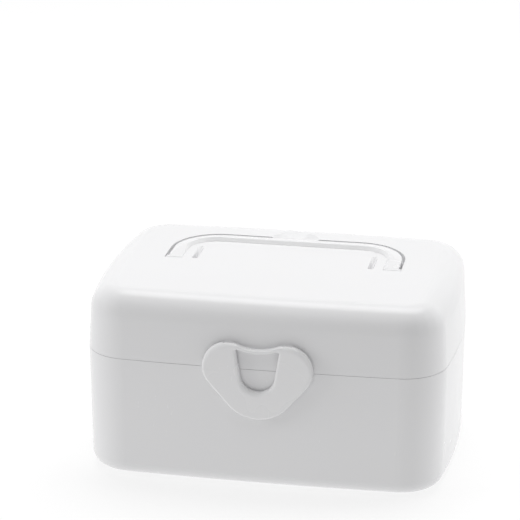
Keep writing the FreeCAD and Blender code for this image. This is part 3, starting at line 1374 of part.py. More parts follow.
# ---- check and write ----
DOC.recompute()
for thing in DOC.Objects:
    if {"Invalid", "Error"} & set(thing.State):
        raise RuntimeError(f"{thing.Name} did not rebuild: {thing.State}")
os.makedirs("parts", exist_ok=True)
for node, thing in PIECES.items():
    shape = thing.Shape
    if shape.isNull() or not shape.isValid() or shape.Volume <= 0:
        raise RuntimeError(f"{node} has no valid solid")
    shape.exportStep(f"parts/{node}.step")
    print(node, len(shape.Solids), round(shape.Volume, 1), [round(v, 2) for v in (
        shape.BoundBox.XMin, shape.BoundBox.XMax, shape.BoundBox.YMin, shape.BoundBox.YMax,
        shape.BoundBox.ZMin, shape.BoundBox.ZMax)])
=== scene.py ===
import json
import math

import bmesh
import bpy
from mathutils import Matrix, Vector, geometry


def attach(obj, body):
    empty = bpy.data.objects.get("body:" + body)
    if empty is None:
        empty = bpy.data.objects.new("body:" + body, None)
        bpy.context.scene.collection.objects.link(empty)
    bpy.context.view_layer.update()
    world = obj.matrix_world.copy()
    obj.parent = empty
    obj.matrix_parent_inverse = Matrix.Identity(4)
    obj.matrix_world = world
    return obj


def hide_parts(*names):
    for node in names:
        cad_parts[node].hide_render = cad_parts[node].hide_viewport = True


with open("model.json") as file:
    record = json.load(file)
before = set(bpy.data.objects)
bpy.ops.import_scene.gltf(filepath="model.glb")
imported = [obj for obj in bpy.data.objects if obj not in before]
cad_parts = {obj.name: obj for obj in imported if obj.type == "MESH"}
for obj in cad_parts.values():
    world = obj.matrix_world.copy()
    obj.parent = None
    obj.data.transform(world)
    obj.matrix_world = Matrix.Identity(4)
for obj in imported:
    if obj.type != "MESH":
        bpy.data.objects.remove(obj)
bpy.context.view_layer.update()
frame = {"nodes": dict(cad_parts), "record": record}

SCENE = bpy.context.scene
NODES = frame["nodes"]
SLOT_OF = {row["node"]: row["material_slot"] for row in frame["record"]["subparts"]}


# ---------------------------------------------------------------- camera

CAMERA_PLACE = Vector((0.174746, -0.969457, 0.431728))
CAMERA_AIM = Vector((-0.033130, 0.114100, 0.046000))
CAMERA_LENS = 160.1
CAMERA_SENSOR = 36.0
CAMERA_CLIP = (0.05, 20.0)
FRAME_SHIFT = (0.0048, 0.0004)


def make_camera():
    camera = bpy.data.objects.new("camera", bpy.data.cameras.new("camera"))
    SCENE.collection.objects.link(camera)
    camera.data.lens = CAMERA_LENS
    camera.data.sensor_width = CAMERA_SENSOR
    camera.data.shift_x, camera.data.shift_y = FRAME_SHIFT
    camera.data.clip_start, camera.data.clip_end = CAMERA_CLIP
    camera.location = CAMERA_PLACE
    camera.rotation_mode = "QUATERNION"
    camera.rotation_quaternion = (CAMERA_AIM - CAMERA_PLACE).to_track_quat("-Z", "Y")
    camera.data.dof.use_dof = False
    SCENE.camera = camera


# ---------------------------------------------------------------- node trees

class Tree:
    """A small writer of node trees, for a material or a world."""

    def __init__(self, owner):
        owner.use_nodes = True
        self.tree = owner.node_tree

    def put(self, socket, value):
        if isinstance(value, bpy.types.NodeSocket):
            self.tree.links.new(value, socket)
        else:
            socket.default_value = value

    def node(self, kind, **inputs):
        """A new node; From_Min=0.1 sets the input named From Min."""
        made = self.tree.nodes.new(f"ShaderNode{kind}")
        for key, value in inputs.items():
            self.put(made.inputs[key.replace("_", " ")], value)
        return made

    def in_order(self, kind, *values, **settings):
        """A new node with its inputs given in order; gives its first output."""
        made = self.tree.nodes.new(f"ShaderNode{kind}")
        for key, value in settings.items():
            setattr(made, key, value)
        for socket, value in zip(made.inputs, values):
            self.put(socket, value)
        return made.outputs[0]

    def maths(self, kind, first, second):
        return self.in_order("Math", first, second, operation=kind)

    def spread(self, value, low, high, start=0.0, end=1.0):
        """Turns start..end into low..high, and holds values outside at the ends."""
        made = self.node("MapRange", Value=value, From_Min=start, From_Max=end,
                         To_Min=low, To_Max=high)
        return made.outputs["Result"]

    def seen_rays(self):
        """1 for rays that the eye follows, 0 for those that only carry light."""
        rays = self.node("LightPath").outputs
        seen = self.maths("MAXIMUM", rays["Is Camera Ray"], rays["Is Glossy Ray"])
        return self.maths("MAXIMUM", seen, rays["Is Transmission Ray"])


class Finish(Tree):
    """A piece's material. Its textures read the piece's own coordinates, in metres."""

    def __init__(self, name):
        self.material = bpy.data.materials.new(name)
        super().__init__(self.material)
        self.surface = self.tree.nodes["Principled BSDF"]
        self.place = self.node("TexCoord").outputs["Object"]
        self.bump_out = None

    def noise(self, scale, detail=2.0, rough=0.5, stretch=(1, 1, 1), turn=(0, 0, 0)):
        place = self.place
        if tuple(stretch) != (1, 1, 1) or tuple(turn) != (0, 0, 0):
            turned = [math.radians(angle) for angle in turn]
            mapping = self.node("Mapping", Vector=place, Scale=stretch, Rotation=turned)
            place = mapping.outputs["Vector"]
        made = self.node("TexNoise", Vector=place, Scale=scale, Detail=detail, Roughness=rough)
        return made.outputs["Fac"]

    def blend(self, share, first, second):
        made = self.node("Mix")
        made.data_type = "RGBA"
        for key, value in (("Factor", share), ("A", first), ("B", second)):
            self.put(made.inputs[key], value)
        return made.outputs["Result"]

    def bump(self, height, depth, strength):
        """Adds a height, in metres at 1, to the bumps so far."""
        made = self.node("Bump", Height=height, Distance=depth, Strength=strength)
        if self.bump_out is not None:
            self.put(made.inputs["Normal"], self.bump_out)
        self.bump_out = made.outputs["Normal"]

    def finish(self, colour, rough, **fixed):
        """Fills the shader; fixed are numbers that are the same all over the surface."""
        self.put(self.surface.inputs["Base Color"], colour)
        self.put(self.surface.inputs["Roughness"], rough)
        for key, value in fixed.items():
            self.surface.inputs[key.replace("_", " ")].default_value = value
        if self.bump_out is not None:
            self.put(self.surface.inputs["Normal"], self.bump_out)
        return self.material


def shade(colour, factor=1.0):
    return tuple(min(1.0, channel * factor) for channel in colour) + (1.0,)


# ---------------------------------------------------------------- finishes

PLASTIC_IOR = 1.5
DUST = (0.20, 0.19, 0.18)

# how the marks on each finish change its colour and its roughness; yellowing takes AGED of
# each channel, less warm times WARMTH
FLOW_DARK, FLOW_PALE = 0.985, 1.010
AGED, WARMTH = (1.0, 0.99, 0.975), (0.0, 1.0, 2.0)
SMEAR_LOW, SMEAR_HIGH, SCRATCH_ROUGH = 0.82, 1.18, 0.10
TARNISH_SHADE, TARNISH_ROUGH = 0.62, 0.25
BRUSH_LOW, BRUSH_HIGH = 0.7, 1.4
# painted shade: how much darker the pores and the gaps between the felt's hairs are painted
PORE_PAINTED_SHADE, FELT_PAINTED_SHADE = 0.45, 0.72

# how deep the marks are, in metres
FLOW_DEPTH, SKIN_DEPTH, GRAIN_DEPTH, SCRATCH_DEPTH = 0.00010, 0.000008, 0.00008, 0.000004
RUBBER_DEPTH, BRUSH_DEPTH, PORE_DEPTH, FELT_DEPTH = 0.00006, 0.00001, 0.00005, 0.0004


def moulded(name, colour, gloss, grain=0.0, warm=0.0):
    """Moulded plastic: faint flow marks, a little yellowing and fine handling scratches.

    grain is the strength of its moulded texture, and warm is more yellowing.
    """
    s = Finish(name)
    flow = s.noise(scale=14.0, detail=1.0, rough=0.4, stretch=(1.0, 1.3, 0.8))
    tint = s.blend(flow, shade(colour, FLOW_DARK), shade(colour, FLOW_PALE))
    aged = [channel * (age - warm * share)
            for channel, age, share in zip(colour, AGED, WARMTH)] + [1.0]
    cloud = s.spread(s.noise(scale=55.0), low=0.0, high=0.35, start=0.2)
    tint = s.blend(cloud, tint, aged)

    one_way = s.noise(scale=900.0, stretch=(1.0, 0.03, 0.3), turn=(8, 0, 24))
    other_way = s.noise(scale=700.0, stretch=(0.04, 1.0, 0.4), turn=(0, 12, -31))
    scratches = s.maths("ADD", s.spread(one_way, low=0.0, high=1.0, start=0.66, end=0.80),
                        s.spread(other_way, low=0.0, high=1.0, start=0.68, end=0.82))
    handled = s.spread(s.noise(scale=20.0, detail=1.0), low=0.0, high=0.8, start=0.2, end=0.9)
    worn = s.maths("MULTIPLY", scratches, handled)
    smear = s.spread(s.noise(scale=30.0), low=gloss * SMEAR_LOW, high=gloss * SMEAR_HIGH)
    rough = s.maths("ADD", smear, s.maths("MULTIPLY", worn, SCRATCH_ROUGH))

    s.bump(flow, FLOW_DEPTH, strength=0.12)
    s.bump(s.noise(scale=2600.0), SKIN_DEPTH, strength=0.2 + grain)
    if grain:
        s.bump(s.noise(scale=1500.0, detail=3.0, rough=0.65), GRAIN_DEPTH, strength=grain)
    s.bump(scratches, -SCRATCH_DEPTH, strength=0.4)
    return s.finish(tint, rough, IOR=PLASTIC_IOR)


def rubber(name, colour):
    """Matte rubber with dust in its grain."""
    s = Finish(name)
    speck = s.noise(scale=240.0, detail=5.0, rough=0.7)
    dust = s.spread(speck, low=0.0, high=0.5, start=0.45, end=0.75)
    tint = s.blend(dust, shade(colour), shade(DUST))
    s.bump(s.noise(scale=1800.0, detail=3.0, rough=0.7), RUBBER_DEPTH, strength=0.8)
    return s.finish(tint, s.spread(dust, low=0.72, high=0.95), IOR=PLASTIC_IOR)


def metal(name, colour, gloss, brush=(1, 1, 1), tarnish=0.3):
    """Ground or plated metal: dull spots, and fine lines along the axis where brush is small."""
    s = Finish(name)
    lines = s.noise(scale=1500.0, detail=3.0, rough=0.6, stretch=brush)
    spots = s.spread(s.noise(scale=260.0, detail=4.0, rough=0.65), low=0.0, high=tarnish,
                     start=0.5, end=0.8)
    tint = s.blend(spots, shade(colour), shade(colour, TARNISH_SHADE))
    ground = s.spread(lines, low=gloss * BRUSH_LOW, high=gloss * BRUSH_HIGH, start=0.3, end=0.7)
    rough = s.maths("ADD", ground, s.maths("MULTIPLY", spots, TARNISH_ROUGH))
    s.bump(lines, BRUSH_DEPTH, strength=0.5)
    return s.finish(tint, rough, Metallic=1.0)


def sintered(name, colour):
    """Sintered bronze with open pores, which are painted darker as painted shade in the pits."""
    s = Finish(name)
    pores = s.node("TexVoronoi", Vector=s.place, Scale=2200.0)
    grain = s.spread(pores.outputs["Distance"], low=0.0, high=1.0, start=0.1, end=0.6)
    # painted shade: the pores are darker where the bump sinks them
    tint = s.blend(grain, shade(colour, PORE_PAINTED_SHADE), shade(colour))
    s.bump(grain, PORE_DEPTH, strength=0.6)
    return s.finish(tint, s.spread(grain, low=0.62, high=0.38), Metallic=1.0)


def felted(name, colour):
    """Pressed felt: short hairs that cross, painted darker between the hairs as painted shade."""
    s = Finish(name)
    hair = s.noise(scale=2400.0, detail=4.0, rough=0.75, stretch=(1.0, 0.25, 1.0),
                   turn=(0, 0, 35))
    crossing = s.noise(scale=2100.0, detail=4.0, rough=0.75, stretch=(0.3, 1.0, 1.0),
                       turn=(0, 0, -20))
    felt = s.maths("MULTIPLY", hair, crossing)
    # painted shade: darker where the hairs sink
    tint = s.blend(s.spread(felt, low=0.0, high=1.0, start=0.15, end=0.4),
                   shade(colour, FELT_PAINTED_SHADE), shade(colour))
    s.bump(felt, FELT_DEPTH, strength=0.9)
    return s.finish(tint, s.spread(hair, low=0.85, high=1.0), Sheen_Weight=0.4,
                    Sheen_Roughness=0.5)


FINISHES = {
    "case_white": moulded("case_white", (0.835, 0.835, 0.845), gloss=0.24),
    "handle_white": moulded("handle_white", (0.83, 0.83, 0.84), gloss=0.26),
    "latch_white": moulded("latch_white", (0.86, 0.86, 0.87), gloss=0.27),
    "deck_white": moulded("deck_white", (0.79, 0.79, 0.80), gloss=0.46, grain=0.5),
    "grey_plastic": moulded("grey_plastic", (0.17, 0.175, 0.19), gloss=0.48, grain=0.6),
    "black_plastic": moulded("black_plastic", (0.018, 0.018, 0.02), gloss=0.38, grain=0.3),
    "gear_plastic": moulded("gear_plastic", (0.76, 0.74, 0.66), gloss=0.40, grain=0.2,
                            warm=0.02),
    "foot_rubber": rubber("foot_rubber", (0.028, 0.028, 0.03)),
    "steel": metal("steel", (0.56, 0.56, 0.57), gloss=0.26, brush=(1.0, 1.0, 0.05)),
    "plated_steel": metal("plated_steel", (0.72, 0.72, 0.74), gloss=0.14,
                          brush=(1.0, 0.2, 1.0), tarnish=0.15),
    "brass_contact": metal("brass_contact", (0.72, 0.52, 0.20), gloss=0.24, tarnish=0.45),
    "bronze": sintered("bronze", (0.55, 0.36, 0.17)),
    "felt": felted("felt", (0.73, 0.71, 0.66)),
}


def dress_cad():
    """Gives each CAD node the finish that the record names for it."""
    for name, piece in NODES.items():
        finish = FINISHES[SLOT_OF[name]]
        if not piece.data.materials:
            piece.data.materials.append(finish)
        for index in range(len(piece.data.materials)):
            piece.data.materials[index] = finish


# ---------------------------------------------------------------- mesh helpers

MIRROR = Vector((-1.0, 1.0, 1.0))
OUTLINE_STEP = 0.0004
OUTLINE_LEAST = 3
SHARP_EDGE = math.radians(32.0)


def smooth_step(low, high, value):
    """0 at low, 1 at high, and an even curve between; low may be the larger one."""
    share = min(1.0, max(0.0, (value - low) / (high - low)))
    return share * share * (3.0 - 2.0 * share)


def way_at(angle):
    return Vector((math.cos(angle), 0.0, math.sin(angle)))


def steps_along(length):
    return max(OUTLINE_LEAST, math.ceil(length / OUTLINE_STEP))


def arc_points(centre, radius, start, end, outward=1.0):
    """Points of an arc in the XZ plane, each with the direction out of the outline."""
    count = steps_along(abs(end - start) * radius)
    for number in range(count):
        way = way_at(start + (end - start) * number / count)
        yield centre + radius * way, outward * way


def u_outline(bottom_z, bottom_r, corner_x, corner_z, corner_r, top_z, top_r):
    """A round bottom, straight sides, round corners and a top that dips round (0, top_z)."""
    bottom, corner, top = (Vector((x, 0.0, z)) for x, z in
                           ((0.0, bottom_z), (corner_x, corner_z), (0.0, top_z)))
    reach = corner - bottom
    side = math.atan2(reach.z, reach.x) - math.acos((bottom_r - corner_r) / reach.length)
    dip = math.atan2(top_z - corner_z, -corner_x)
    low, high = bottom + bottom_r * way_at(side), corner + corner_r * way_at(side)
    count = steps_along((high - low).length)
    right = list(arc_points(bottom, bottom_r, -math.pi / 2, side))
    right += [(low.lerp(high, number / count), way_at(side)) for number in range(count)]
    right += arc_points(corner, corner_r, side, dip)
    right += arc_points(top, top_r, dip - math.pi, -math.pi / 2, outward=-1.0)
    middle = (Vector((0.0, 0.0, top_z - top_r)), Vector((0.0, 0.0, 1.0)))
    left = [(point * MIRROR, out * MIRROR) for point, out in reversed(right[1:])]
    return right + [middle] + left


def loft(mesh, rings):
    """Closed rings of points joined by quads, in order; gives the first and the last ring."""
    rows = [[mesh.verts.new(point) for point in ring] for ring in rings]
    for first, second in zip(rows, rows[1:]):
        for number, corner in enumerate(first):
            after = (number + 1) % len(first)
            mesh.faces.new((corner, first[after], second[after], second[number]))
    return rows[0], rows[-1]


def flat_ring(mesh, *loops):
    """Flat faces between an outline and the hole in it."""
    edges = [mesh.edges.get((corner, loop[(number + 1) % len(loop)]))
             for loop in loops for number, corner in enumerate(loop)]
    bmesh.ops.triangle_fill(mesh, edges=edges, use_beauty=True)


def sweep(sections):
    """A closed bar through sections, which are rings of points, with flat ends."""
    mesh = bmesh.new()
    for end in loft(mesh, sections):
        mesh.faces.new(end)
    bmesh.ops.recalc_face_normals(mesh, faces=mesh.faces)
    return mesh


def prism(outline, low_x, high_x):
    """A block with an outline in the YZ plane, from low_x to high_x."""
    return sweep([[(x, y, z) for y, z in outline] for x in (low_x, high_x)])


def solid(name, mesh):
    """Turns the mesh in the making into an object of the scene."""
    data = bpy.data.meshes.new(name)
    mesh.to_mesh(data)
    mesh.free()
    made = bpy.data.objects.new(name, data)
    SCENE.collection.objects.link(made)
    return made


def cut_out(piece, cutters):
    """Takes each cutter out of the piece and leaves no modifier on it."""
    for mesh in cutters:
        cutter = solid("cutter", mesh)
        change = piece.modifiers.new("cut", "BOOLEAN")
        change.operation = "DIFFERENCE"
        change.solver = "EXACT"
        change.object = cutter
        depsgraph = bpy.context.evaluated_depsgraph_get()
        result = bpy.data.meshes.new_from_object(piece.evaluated_get(depsgraph))
        piece.modifiers.clear()
        piece.data = result
        bpy.data.objects.remove(cutter)


def settle(piece, body, slot, *nodes):
    """Smooth shading with sharp edges, the finish, and the body that the piece rides on."""
    piece.data.shade_smooth()
    piece.data.set_sharp_from_angle(angle=SHARP_EDGE)
    piece.data.materials.clear()
    piece.data.materials.append(FINISHES[slot])
    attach(piece, body)
    if nodes:
        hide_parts(*nodes)


# ---------------------------------------------------------------- latch

PARTING = 0.0566
LATCH_REAR, LATCH_FRONT = -0.0579, -0.0609
PIVOT_Y, PIVOT_Z = -0.0592, PARTING + 0.0111

# the outline: two lobes, a round tip below them and a dip between them
LOBE_X, LOBE_Z, LOBE_R = 0.0129, PARTING + 0.0012, 0.0115
TIP_Z, TIP_R = PARTING - 0.0050, 0.0172
DIP_R = 0.0225
DIP_Z = LOBE_Z + math.sqrt((DIP_R + LOBE_R) ** 2 - LOBE_X ** 2)

# the thumb hole, under a bar that follows the dip
BAR = 0.0016
THUMB_Z, THUMB_R = PARTING - 0.0018, 0.0077
THUMB_CORNER_X, THUMB_CORNER_R = 0.00874, 0.0009
THUMB_CORNER_Z = DIP_Z - math.sqrt((DIP_R + BAR + THUMB_CORNER_R) ** 2 - THUMB_CORNER_X ** 2)

# widths of the rounded front edge, where each one holds, and the most depth of the edge
RIM_SIDE, RIM_LOBE, RIM_DIP = 0.0014, 0.0024, 0.0007
RIM_THUMB, RIM_BAR, RIM_SCOOP = 0.0012, 0.0005, 0.0021
RIM_UPWARD, THUMB_UPWARD, THUMB_DOWNWARD = (-0.1, 0.8), (0.2, 0.9), (0.1, 0.9)
LOBE_SPAN = (0.0080, 0.0130)
RIM_DEPTH = 0.0018
RIM_STEPS = 7
FLAT_MARGIN = 0.00015
REAR_EDGE = 0.0003

# room for the lid's lug while the latch swings up by 60 degrees
LUG_ROOM, LUG_ROOM_HALF = 0.00102, 0.0022
LUG_START, LUG_TURN, LUG_STEPS = 270.0, -120.0, 12
LUG_RISE, LUG_WAY = 0.004, (0.5, 0.866)

# rooms in the rear face: half width, depth, lowest and highest z
SWING_ROOM = (0.04, 0.0004, PIVOT_Z - 0.0009, PIVOT_Z + 0.01)
RIDGE_ROOM = (0.009, 0.0009, 0.0401, 0.0451)
RIDGE_PATH = (0.009, 0.00035, 0.0326, 0.0401)
BEHIND = LATCH_REAR + 0.001


def outer_rim(point, out):
    """The edge is roundest on top of the lobes and tight in the dip."""
    up = smooth_step(*RIM_UPWARD, out.z)
    lobe = smooth_step(*LOBE_SPAN, abs(point.x))
    return RIM_SIDE + up * (RIM_DIP + (RIM_LOBE - RIM_DIP) * lobe - RIM_SIDE)


def thumb_rim(point, out):
    """Tight under the bar, and widest at the bottom, where the thumb goes in."""
    bar = smooth_step(*THUMB_UPWARD, out.z) * (RIM_BAR - RIM_THUMB)
    scoop = smooth_step(*THUMB_DOWNWARD, -out.z) * (RIM_SCOOP - RIM_THUMB)
    return RIM_THUMB + bar + scoop


def edge_profile(width):
    """Insets and places in y, from the flat front over the rounded edge to the flat rear."""
    depth = min(width, RIM_DEPTH)
    profile = [(width + FLAT_MARGIN, LATCH_FRONT)]
    for step in range(RIM_STEPS + 1):
        turn = math.pi / 2 * step / RIM_STEPS
        profile.append((width * (1.0 - math.sin(turn)),
                        LATCH_FRONT + depth * (1.0 - math.cos(turn))))
    return profile + [(0.0, LATCH_REAR - REAR_EDGE), (REAR_EDGE, LATCH_REAR)]


def edge_rings(outline, rim, inward):
    """A ring round the outline for each step of the edge's profile."""
    stations = [[point + out * inward * inset + Vector((0.0, y, 0.0))
                 for inset, y in edge_profile(rim(point, out))] for point, out in outline]
    return list(zip(*stations))


def lug_room():
    """The lug's room, as an outline in the YZ plane: a round bottom, open to the rear."""
    outline = [(BEHIND, PIVOT_Z - LUG_ROOM)]
    for step in range(LUG_STEPS + 1):
        turn = math.radians(LUG_START + LUG_TURN * step / LUG_STEPS)
        outline.append((PIVOT_Y + LUG_ROOM * math.cos(turn), PIVOT_Z + LUG_ROOM * math.sin(turn)))
    outline.append(tuple(last + LUG_RISE * way for last, way in zip(outline[-1], LUG_WAY)))
    outline.append((BEHIND, outline[-1][1]))
    return outline


def rear_room(half, depth, low_z, high_z):
    """A block that goes into the latch's rear face by depth."""
    bottom = LATCH_REAR - depth
    outline = [(BEHIND, low_z), (bottom, low_z), (bottom, high_z), (BEHIND, high_z)]
    return prism(outline, -half, half)


def make_latch():
    outer = u_outline(TIP_Z, TIP_R, LOBE_X, LOBE_Z, LOBE_R, DIP_Z, DIP_R)
    thumb = u_outline(THUMB_Z, THUMB_R, THUMB_CORNER_X, THUMB_CORNER_Z, THUMB_CORNER_R,
                      DIP_Z, DIP_R + BAR)
    mesh = bmesh.new()
    outer_ends = loft(mesh, edge_rings(outer, outer_rim, -1.0))
    thumb_ends = loft(mesh, edge_rings(thumb, thumb_rim, 1.0))
    for loops in zip(outer_ends, thumb_ends):
        flat_ring(mesh, *loops)
    bmesh.ops.recalc_face_normals(mesh, faces=mesh.faces)
    piece = solid("latch_moulding", mesh)
    cutters = [prism(lug_room(), lug_x - LUG_ROOM_HALF, lug_x + LUG_ROOM_HALF)
               for lug_x in (-LOBE_X, LOBE_X)]
    cutters += [rear_room(*room) for room in (SWING_ROOM, RIDGE_ROOM, RIDGE_PATH)]
    cut_out(piece, cutters)
    settle(piece, "latch", "latch_white", "latch")


# ---------------------------------------------------------------- parting bead

BEAD_INSET, BEAD_DEPTH = 0.00038, 0.0011
BEAD_LOW, BEAD_HIGH = PARTING - 0.00005, PARTING + 0.00014
BEAD_END_Y = 0.045
RIM_NEAR = 0.00002
RIM_DIGITS = 6


def make_bead():
    """A thin bead in the gap between the shells, open at the rear where the hinges are."""
    rim = {(round(v.co.x, RIM_DIGITS), round(v.co.y, RIM_DIGITS))
           for v in NODES["base_shell"].data.vertices if abs(v.co.z - PARTING) < RIM_NEAR}
    rim = [Vector(point) for point in sorted(rim)]
    loop = [rim[index] for index in geometry.convex_hull_2d(rim)]
    loop = sorted((point for point in loop if point.y < BEAD_END_Y),
                  key=lambda point: math.atan2(point.x, -point.y))
    sections = []
    for point in loop:
        inward = -point.normalized()
        outer, inner = point + BEAD_INSET * inward, point + BEAD_DEPTH * inward
        sections.append([(*inner, BEAD_LOW), (*outer, BEAD_LOW),
                         (*outer, BEAD_HIGH), (*inner, BEAD_HIGH)])
    settle(solid("parting_bead", sweep(sections)), "case", "case_white")


# ---------------------------------------------------------------- lid channels

LID_TOP = 0.0860

# the handle's edges: half width, corner radius, rear y, and the x where the edge ends
ARCH_FRONT = -0.00107
OUTER_ARCH = (0.0527, 0.0210, 0.0340, 0.0135)
INNER_ARCH = (0.0461, 0.0130, 0.0246, 0.0)
ARCH_STEPS = 32
GRIP_RUN, GRIP_STEPS = 0.004, 8

# distances out from the handle's edge, and depths below the lid's top; the channel's top
# sinks by CHANNEL_SINK over the last SINK_RUN before the edge ends
CHANNEL_NEAR, CHANNEL_WALL = 0.00020, 0.00149
CHANNEL_TOP, CHANNEL_DEPTH, CHANNEL_FOOT = 0.0001, 0.0030, 0.0046
CHANNEL_STEPS = 8
CHANNEL_SINK, SINK_RUN = 0.0012, 0.0042
SEAL_NEAR, SEAL_FAR, SEAL_TOP = -0.00004, -0.00029, 0.00006

# the slots' places and depths; SLOT_END is the share of the length that each round end takes,
# SLOT_SHARE the share of the width that is hollow, and SLOT_SIDE how steep the sides are
SLOT_X, SLOT_FRONT, SLOT_REAR = 0.0403, -0.00063, 0.01603
SLOT_HALF, SLOT_DEPTH, SLOT_SHALLOW = 0.00152, 0.0049, 0.0003
SLOT_TOP, SLOT_FOOT = 0.00001, 0.0058
SLOT_END, SLOT_SHARE, SLOT_SIDE = 0.09, 0.90, 1.6
SLOT_ROWS, SLOT_COLUMNS = 48, 26


def arch_path(half, corner, rear, end):
    """An edge of the handle on the right, from the arm's end to end, which is an x."""
    centre = Vector((half - corner, rear - corner, 0.0))
    yield Vector((half, ARCH_FRONT, 0.0)), Vector((1.0, 0.0, 0.0))
    for step in range(ARCH_STEPS + 1):
        turn = math.pi / 2 * step / ARCH_STEPS
        way = Vector((math.cos(turn), math.sin(turn), 0.0))
        yield centre + corner * way, way
    for step in range(GRIP_STEPS + 1):
        x = end + GRIP_RUN * (1.0 - step / GRIP_STEPS)
        yield Vector((x, rear, 0.0)), Vector((0.0, 1.0, 0.0))


def section_at(point, way, profile):
    """A profile of distances out and depths below the lid's top, stood on the path."""
    return [point + way * out + Vector((0.0, 0.0, LID_TOP - deep)) for out, deep in profile]


def seal_section(point, way):
    """A strip that nearly fills the narrow gap inside the handle."""
    return section_at(point, way, [(SEAL_NEAR, SEAL_TOP), (SEAL_FAR, SEAL_TOP),
                                   (SEAL_FAR, CHANNEL_FOOT), (SEAL_NEAR, CHANNEL_FOOT)])


def channel_section(point, way):
    """A soft channel beside the handle: a quarter round up to the wall of the recess."""
    top = CHANNEL_TOP + CHANNEL_SINK * smooth_step(SINK_RUN, 0.0, abs(point.x) - OUTER_ARCH[3])
    across = CHANNEL_WALL - CHANNEL_NEAR
    profile = []
    for step in range(CHANNEL_STEPS + 1):
        turn = math.pi / 2 * step / CHANNEL_STEPS
        profile.append((CHANNEL_NEAR + across * math.cos(turn),
                        top + (CHANNEL_DEPTH - CHANNEL_TOP) * math.sin(turn)))
    profile += [(CHANNEL_NEAR, CHANNEL_FOOT), (CHANNEL_WALL, CHANNEL_FOOT)]
    return section_at(point, way, profile)


def slot_depth(across, along):
    """A narrow scoop with round ends and steep sides, deepest in front, above the lid's ramp."""
    end = min(1.0, min(along, 1.0 - along) / SLOT_END)
    width = SLOT_SHARE * math.sqrt(max(0.0, 1.0 - (1.0 - end) ** 2))
    if abs(across) >= width:
        return 0.0
    side = 1.0 - (abs(across) / width) ** SLOT_SIDE
    return side * (SLOT_DEPTH + (SLOT_SHALLOW - SLOT_DEPTH) * along)


def slot_sections(side):
    for row in range(SLOT_ROWS + 1):
        along = row / SLOT_ROWS
        y = SLOT_FRONT + (SLOT_REAR - SLOT_FRONT) * along
        profile = []
        for column in range(SLOT_COLUMNS + 1):
            across = 2.0 * column / SLOT_COLUMNS - 1.0
            profile.append((across, SLOT_TOP + slot_depth(across, along)))
        profile += [(1.0, SLOT_FOOT), (-1.0, SLOT_FOOT)]
        yield [Vector((side * SLOT_X + SLOT_HALF * across, y, LID_TOP - deep))
               for across, deep in profile]


def make_channels():
    for side, word in ((1, "right"), (-1, "left")):
        mirror = Vector((side, 1.0, 1.0))
        for name, edge, shape in (("handle_channel", OUTER_ARCH, channel_section),
                                  ("handle_seal", INNER_ARCH, seal_section)):
            sections = [[corner * mirror for corner in shape(point, way)]
                        for point, way in arch_path(*edge)]
            settle(solid(f"{name}_{word}", sweep(sections)), "lid", "case_white")
        settle(solid(f"slot_shell_{word}", sweep(slot_sections(side))), "lid", "case_white")


# ---------------------------------------------------------------- studio

# the floor: what the eye sees of it, and the light that it glows with, most in the middle; that
# glow is painted bounce light, made less near the case as a painted contact shadow
FLOOR_HALF = 6.0
FLOOR_SEEN, FLOOR_LIFT, FLOOR_ROUGH = 0.36, 0.66, 0.9
GLOW_NEAR, GLOW_FAR, GLOW_REACH = 0.64, 0.53, 0.24
CONTACT_REACH, CONTACT_SHADE = (0.085, 0.150), 0.80

# the room's light, from its front to its rear, and the part of it where that changes
ROOM_FRONT, ROOM_REAR = 0.29, 0.80
ROOM_SPAN = (-0.6, 0.5)

# each lamp's name, place, size and power, and whether gloss mirrors it
LAMP_AIM = Vector((0.0, 0.0, 0.05))
LAMPS = (
    ("top", (0.0, 0.50, 1.4), (1.2, 0.8), 7.8, True),
    ("front", (0.0, -0.60, 1.25), (1.0, 0.5), 1.6, False),
    ("right", (1.20, 0.66, 0.46), (0.75, 0.7), 4.6, False),
    ("left", (-1.4, -0.34, 0.50), (0.8, 0.7), 6.0, False),
)


def painted_bounce_glow(paper):
    """The floor's glow, painted bounce light on the case: it fades outwards, and is less
    underneath, as a painted contact shadow.
    """
    reach = paper.node("VectorMath")
    reach.operation = "LENGTH"
    paper.put(reach.inputs[0], paper.place)
    away = reach.outputs["Value"]
    fade = paper.maths("POWER", paper.maths("DIVIDE", away, GLOW_REACH), 2.0)
    near = paper.maths("DIVIDE", GLOW_NEAR, paper.maths("ADD", fade, 1.0))
    # painted contact shadow: the glow is made less near the case
    contact = paper.node("MapRange", Value=away, From_Min=CONTACT_REACH[0],
                         From_Max=CONTACT_REACH[1], To_Min=CONTACT_SHADE, To_Max=1.0)
    contact.interpolation_type = "SMOOTHSTEP"
    return paper.maths("MULTIPLY", paper.maths("ADD", near, GLOW_FAR), contact.outputs["Result"])


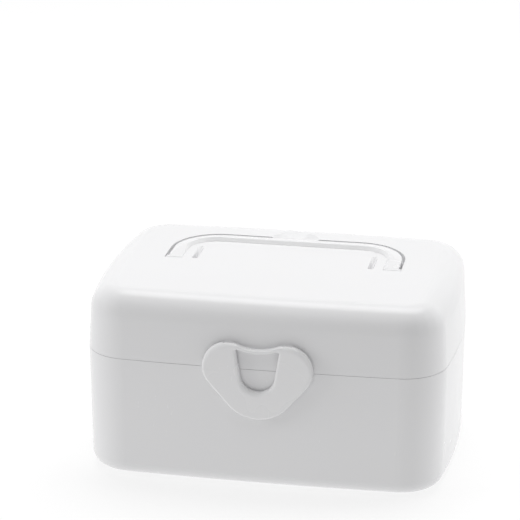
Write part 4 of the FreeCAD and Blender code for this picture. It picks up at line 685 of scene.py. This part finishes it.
def make_floor():
    """White paper with a light shadow; to rays that carry light it glows instead, as painted
    bounce light on the case from below.
    """
    mesh = bpy.data.meshes.new("floor")
    corners = [(x * FLOOR_HALF, y * FLOOR_HALF, 0.0)
               for x, y in ((-1, -1), (1, -1), (1, 1), (-1, 1))]
    mesh.from_pydata(corners, [], [(0, 1, 2, 3)])
    floor = bpy.data.objects.new("floor", mesh)
    SCENE.collection.objects.link(floor)
    paper = Finish("floor_paper")
    paper.finish(shade((FLOOR_SEEN,) * 3), FLOOR_ROUGH, Specular_IOR_Level=0.0)
    lift = paper.node("Emission", Strength=FLOOR_LIFT).outputs[0]
    shown = paper.in_order("AddShader", paper.surface.outputs[0], lift)
    glow = paper.node("Emission", Strength=painted_bounce_glow(paper)).outputs[0]
    mix = paper.in_order("MixShader", paper.seen_rays(), glow, shown)
    paper.put(paper.tree.nodes["Material Output"].inputs["Surface"], mix)
    mesh.materials.append(paper.material)


def make_world():
    """A room that is darker on the camera's side; the eye, gloss and glass see it white."""
    world = bpy.data.worlds.new("studio")
    SCENE.world = world
    sky = Tree(world)
    way = sky.node("SeparateXYZ", Vector=sky.node("TexCoord").outputs["Generated"])
    room = sky.spread(way.outputs["Y"], ROOM_FRONT, ROOM_REAR, *ROOM_SPAN)
    light, white = sky.tree.nodes["Background"], sky.node("Background")
    for background, strength in ((light, room), (white, 1.0)):
        sky.put(background.inputs["Color"], shade((1.0, 1.0, 1.0)))
        sky.put(background.inputs["Strength"], strength)
    mix = sky.in_order("MixShader", sky.seen_rays(), light.outputs[0], white.outputs[0])
    sky.put(sky.tree.nodes["World Output"].inputs["Surface"], mix)


def make_lamp(name, place, size, power, mirrored):
    data = bpy.data.lights.new(name, "AREA")
    data.shape = "RECTANGLE"
    data.size, data.size_y = size
    data.energy = power
    made = bpy.data.objects.new(name, data)
    SCENE.collection.objects.link(made)
    made.location = place
    made.visible_glossy = mirrored
    made.rotation_mode = "QUATERNION"
    made.rotation_quaternion = (LAMP_AIM - Vector(place)).to_track_quat("-Z", "Y")


make_camera()
make_world()
make_floor()
for row in LAMPS:
    make_lamp(*row)
dress_cad()
make_latch()
make_bead()
make_channels()

SCENE.view_settings.view_transform = "Standard"
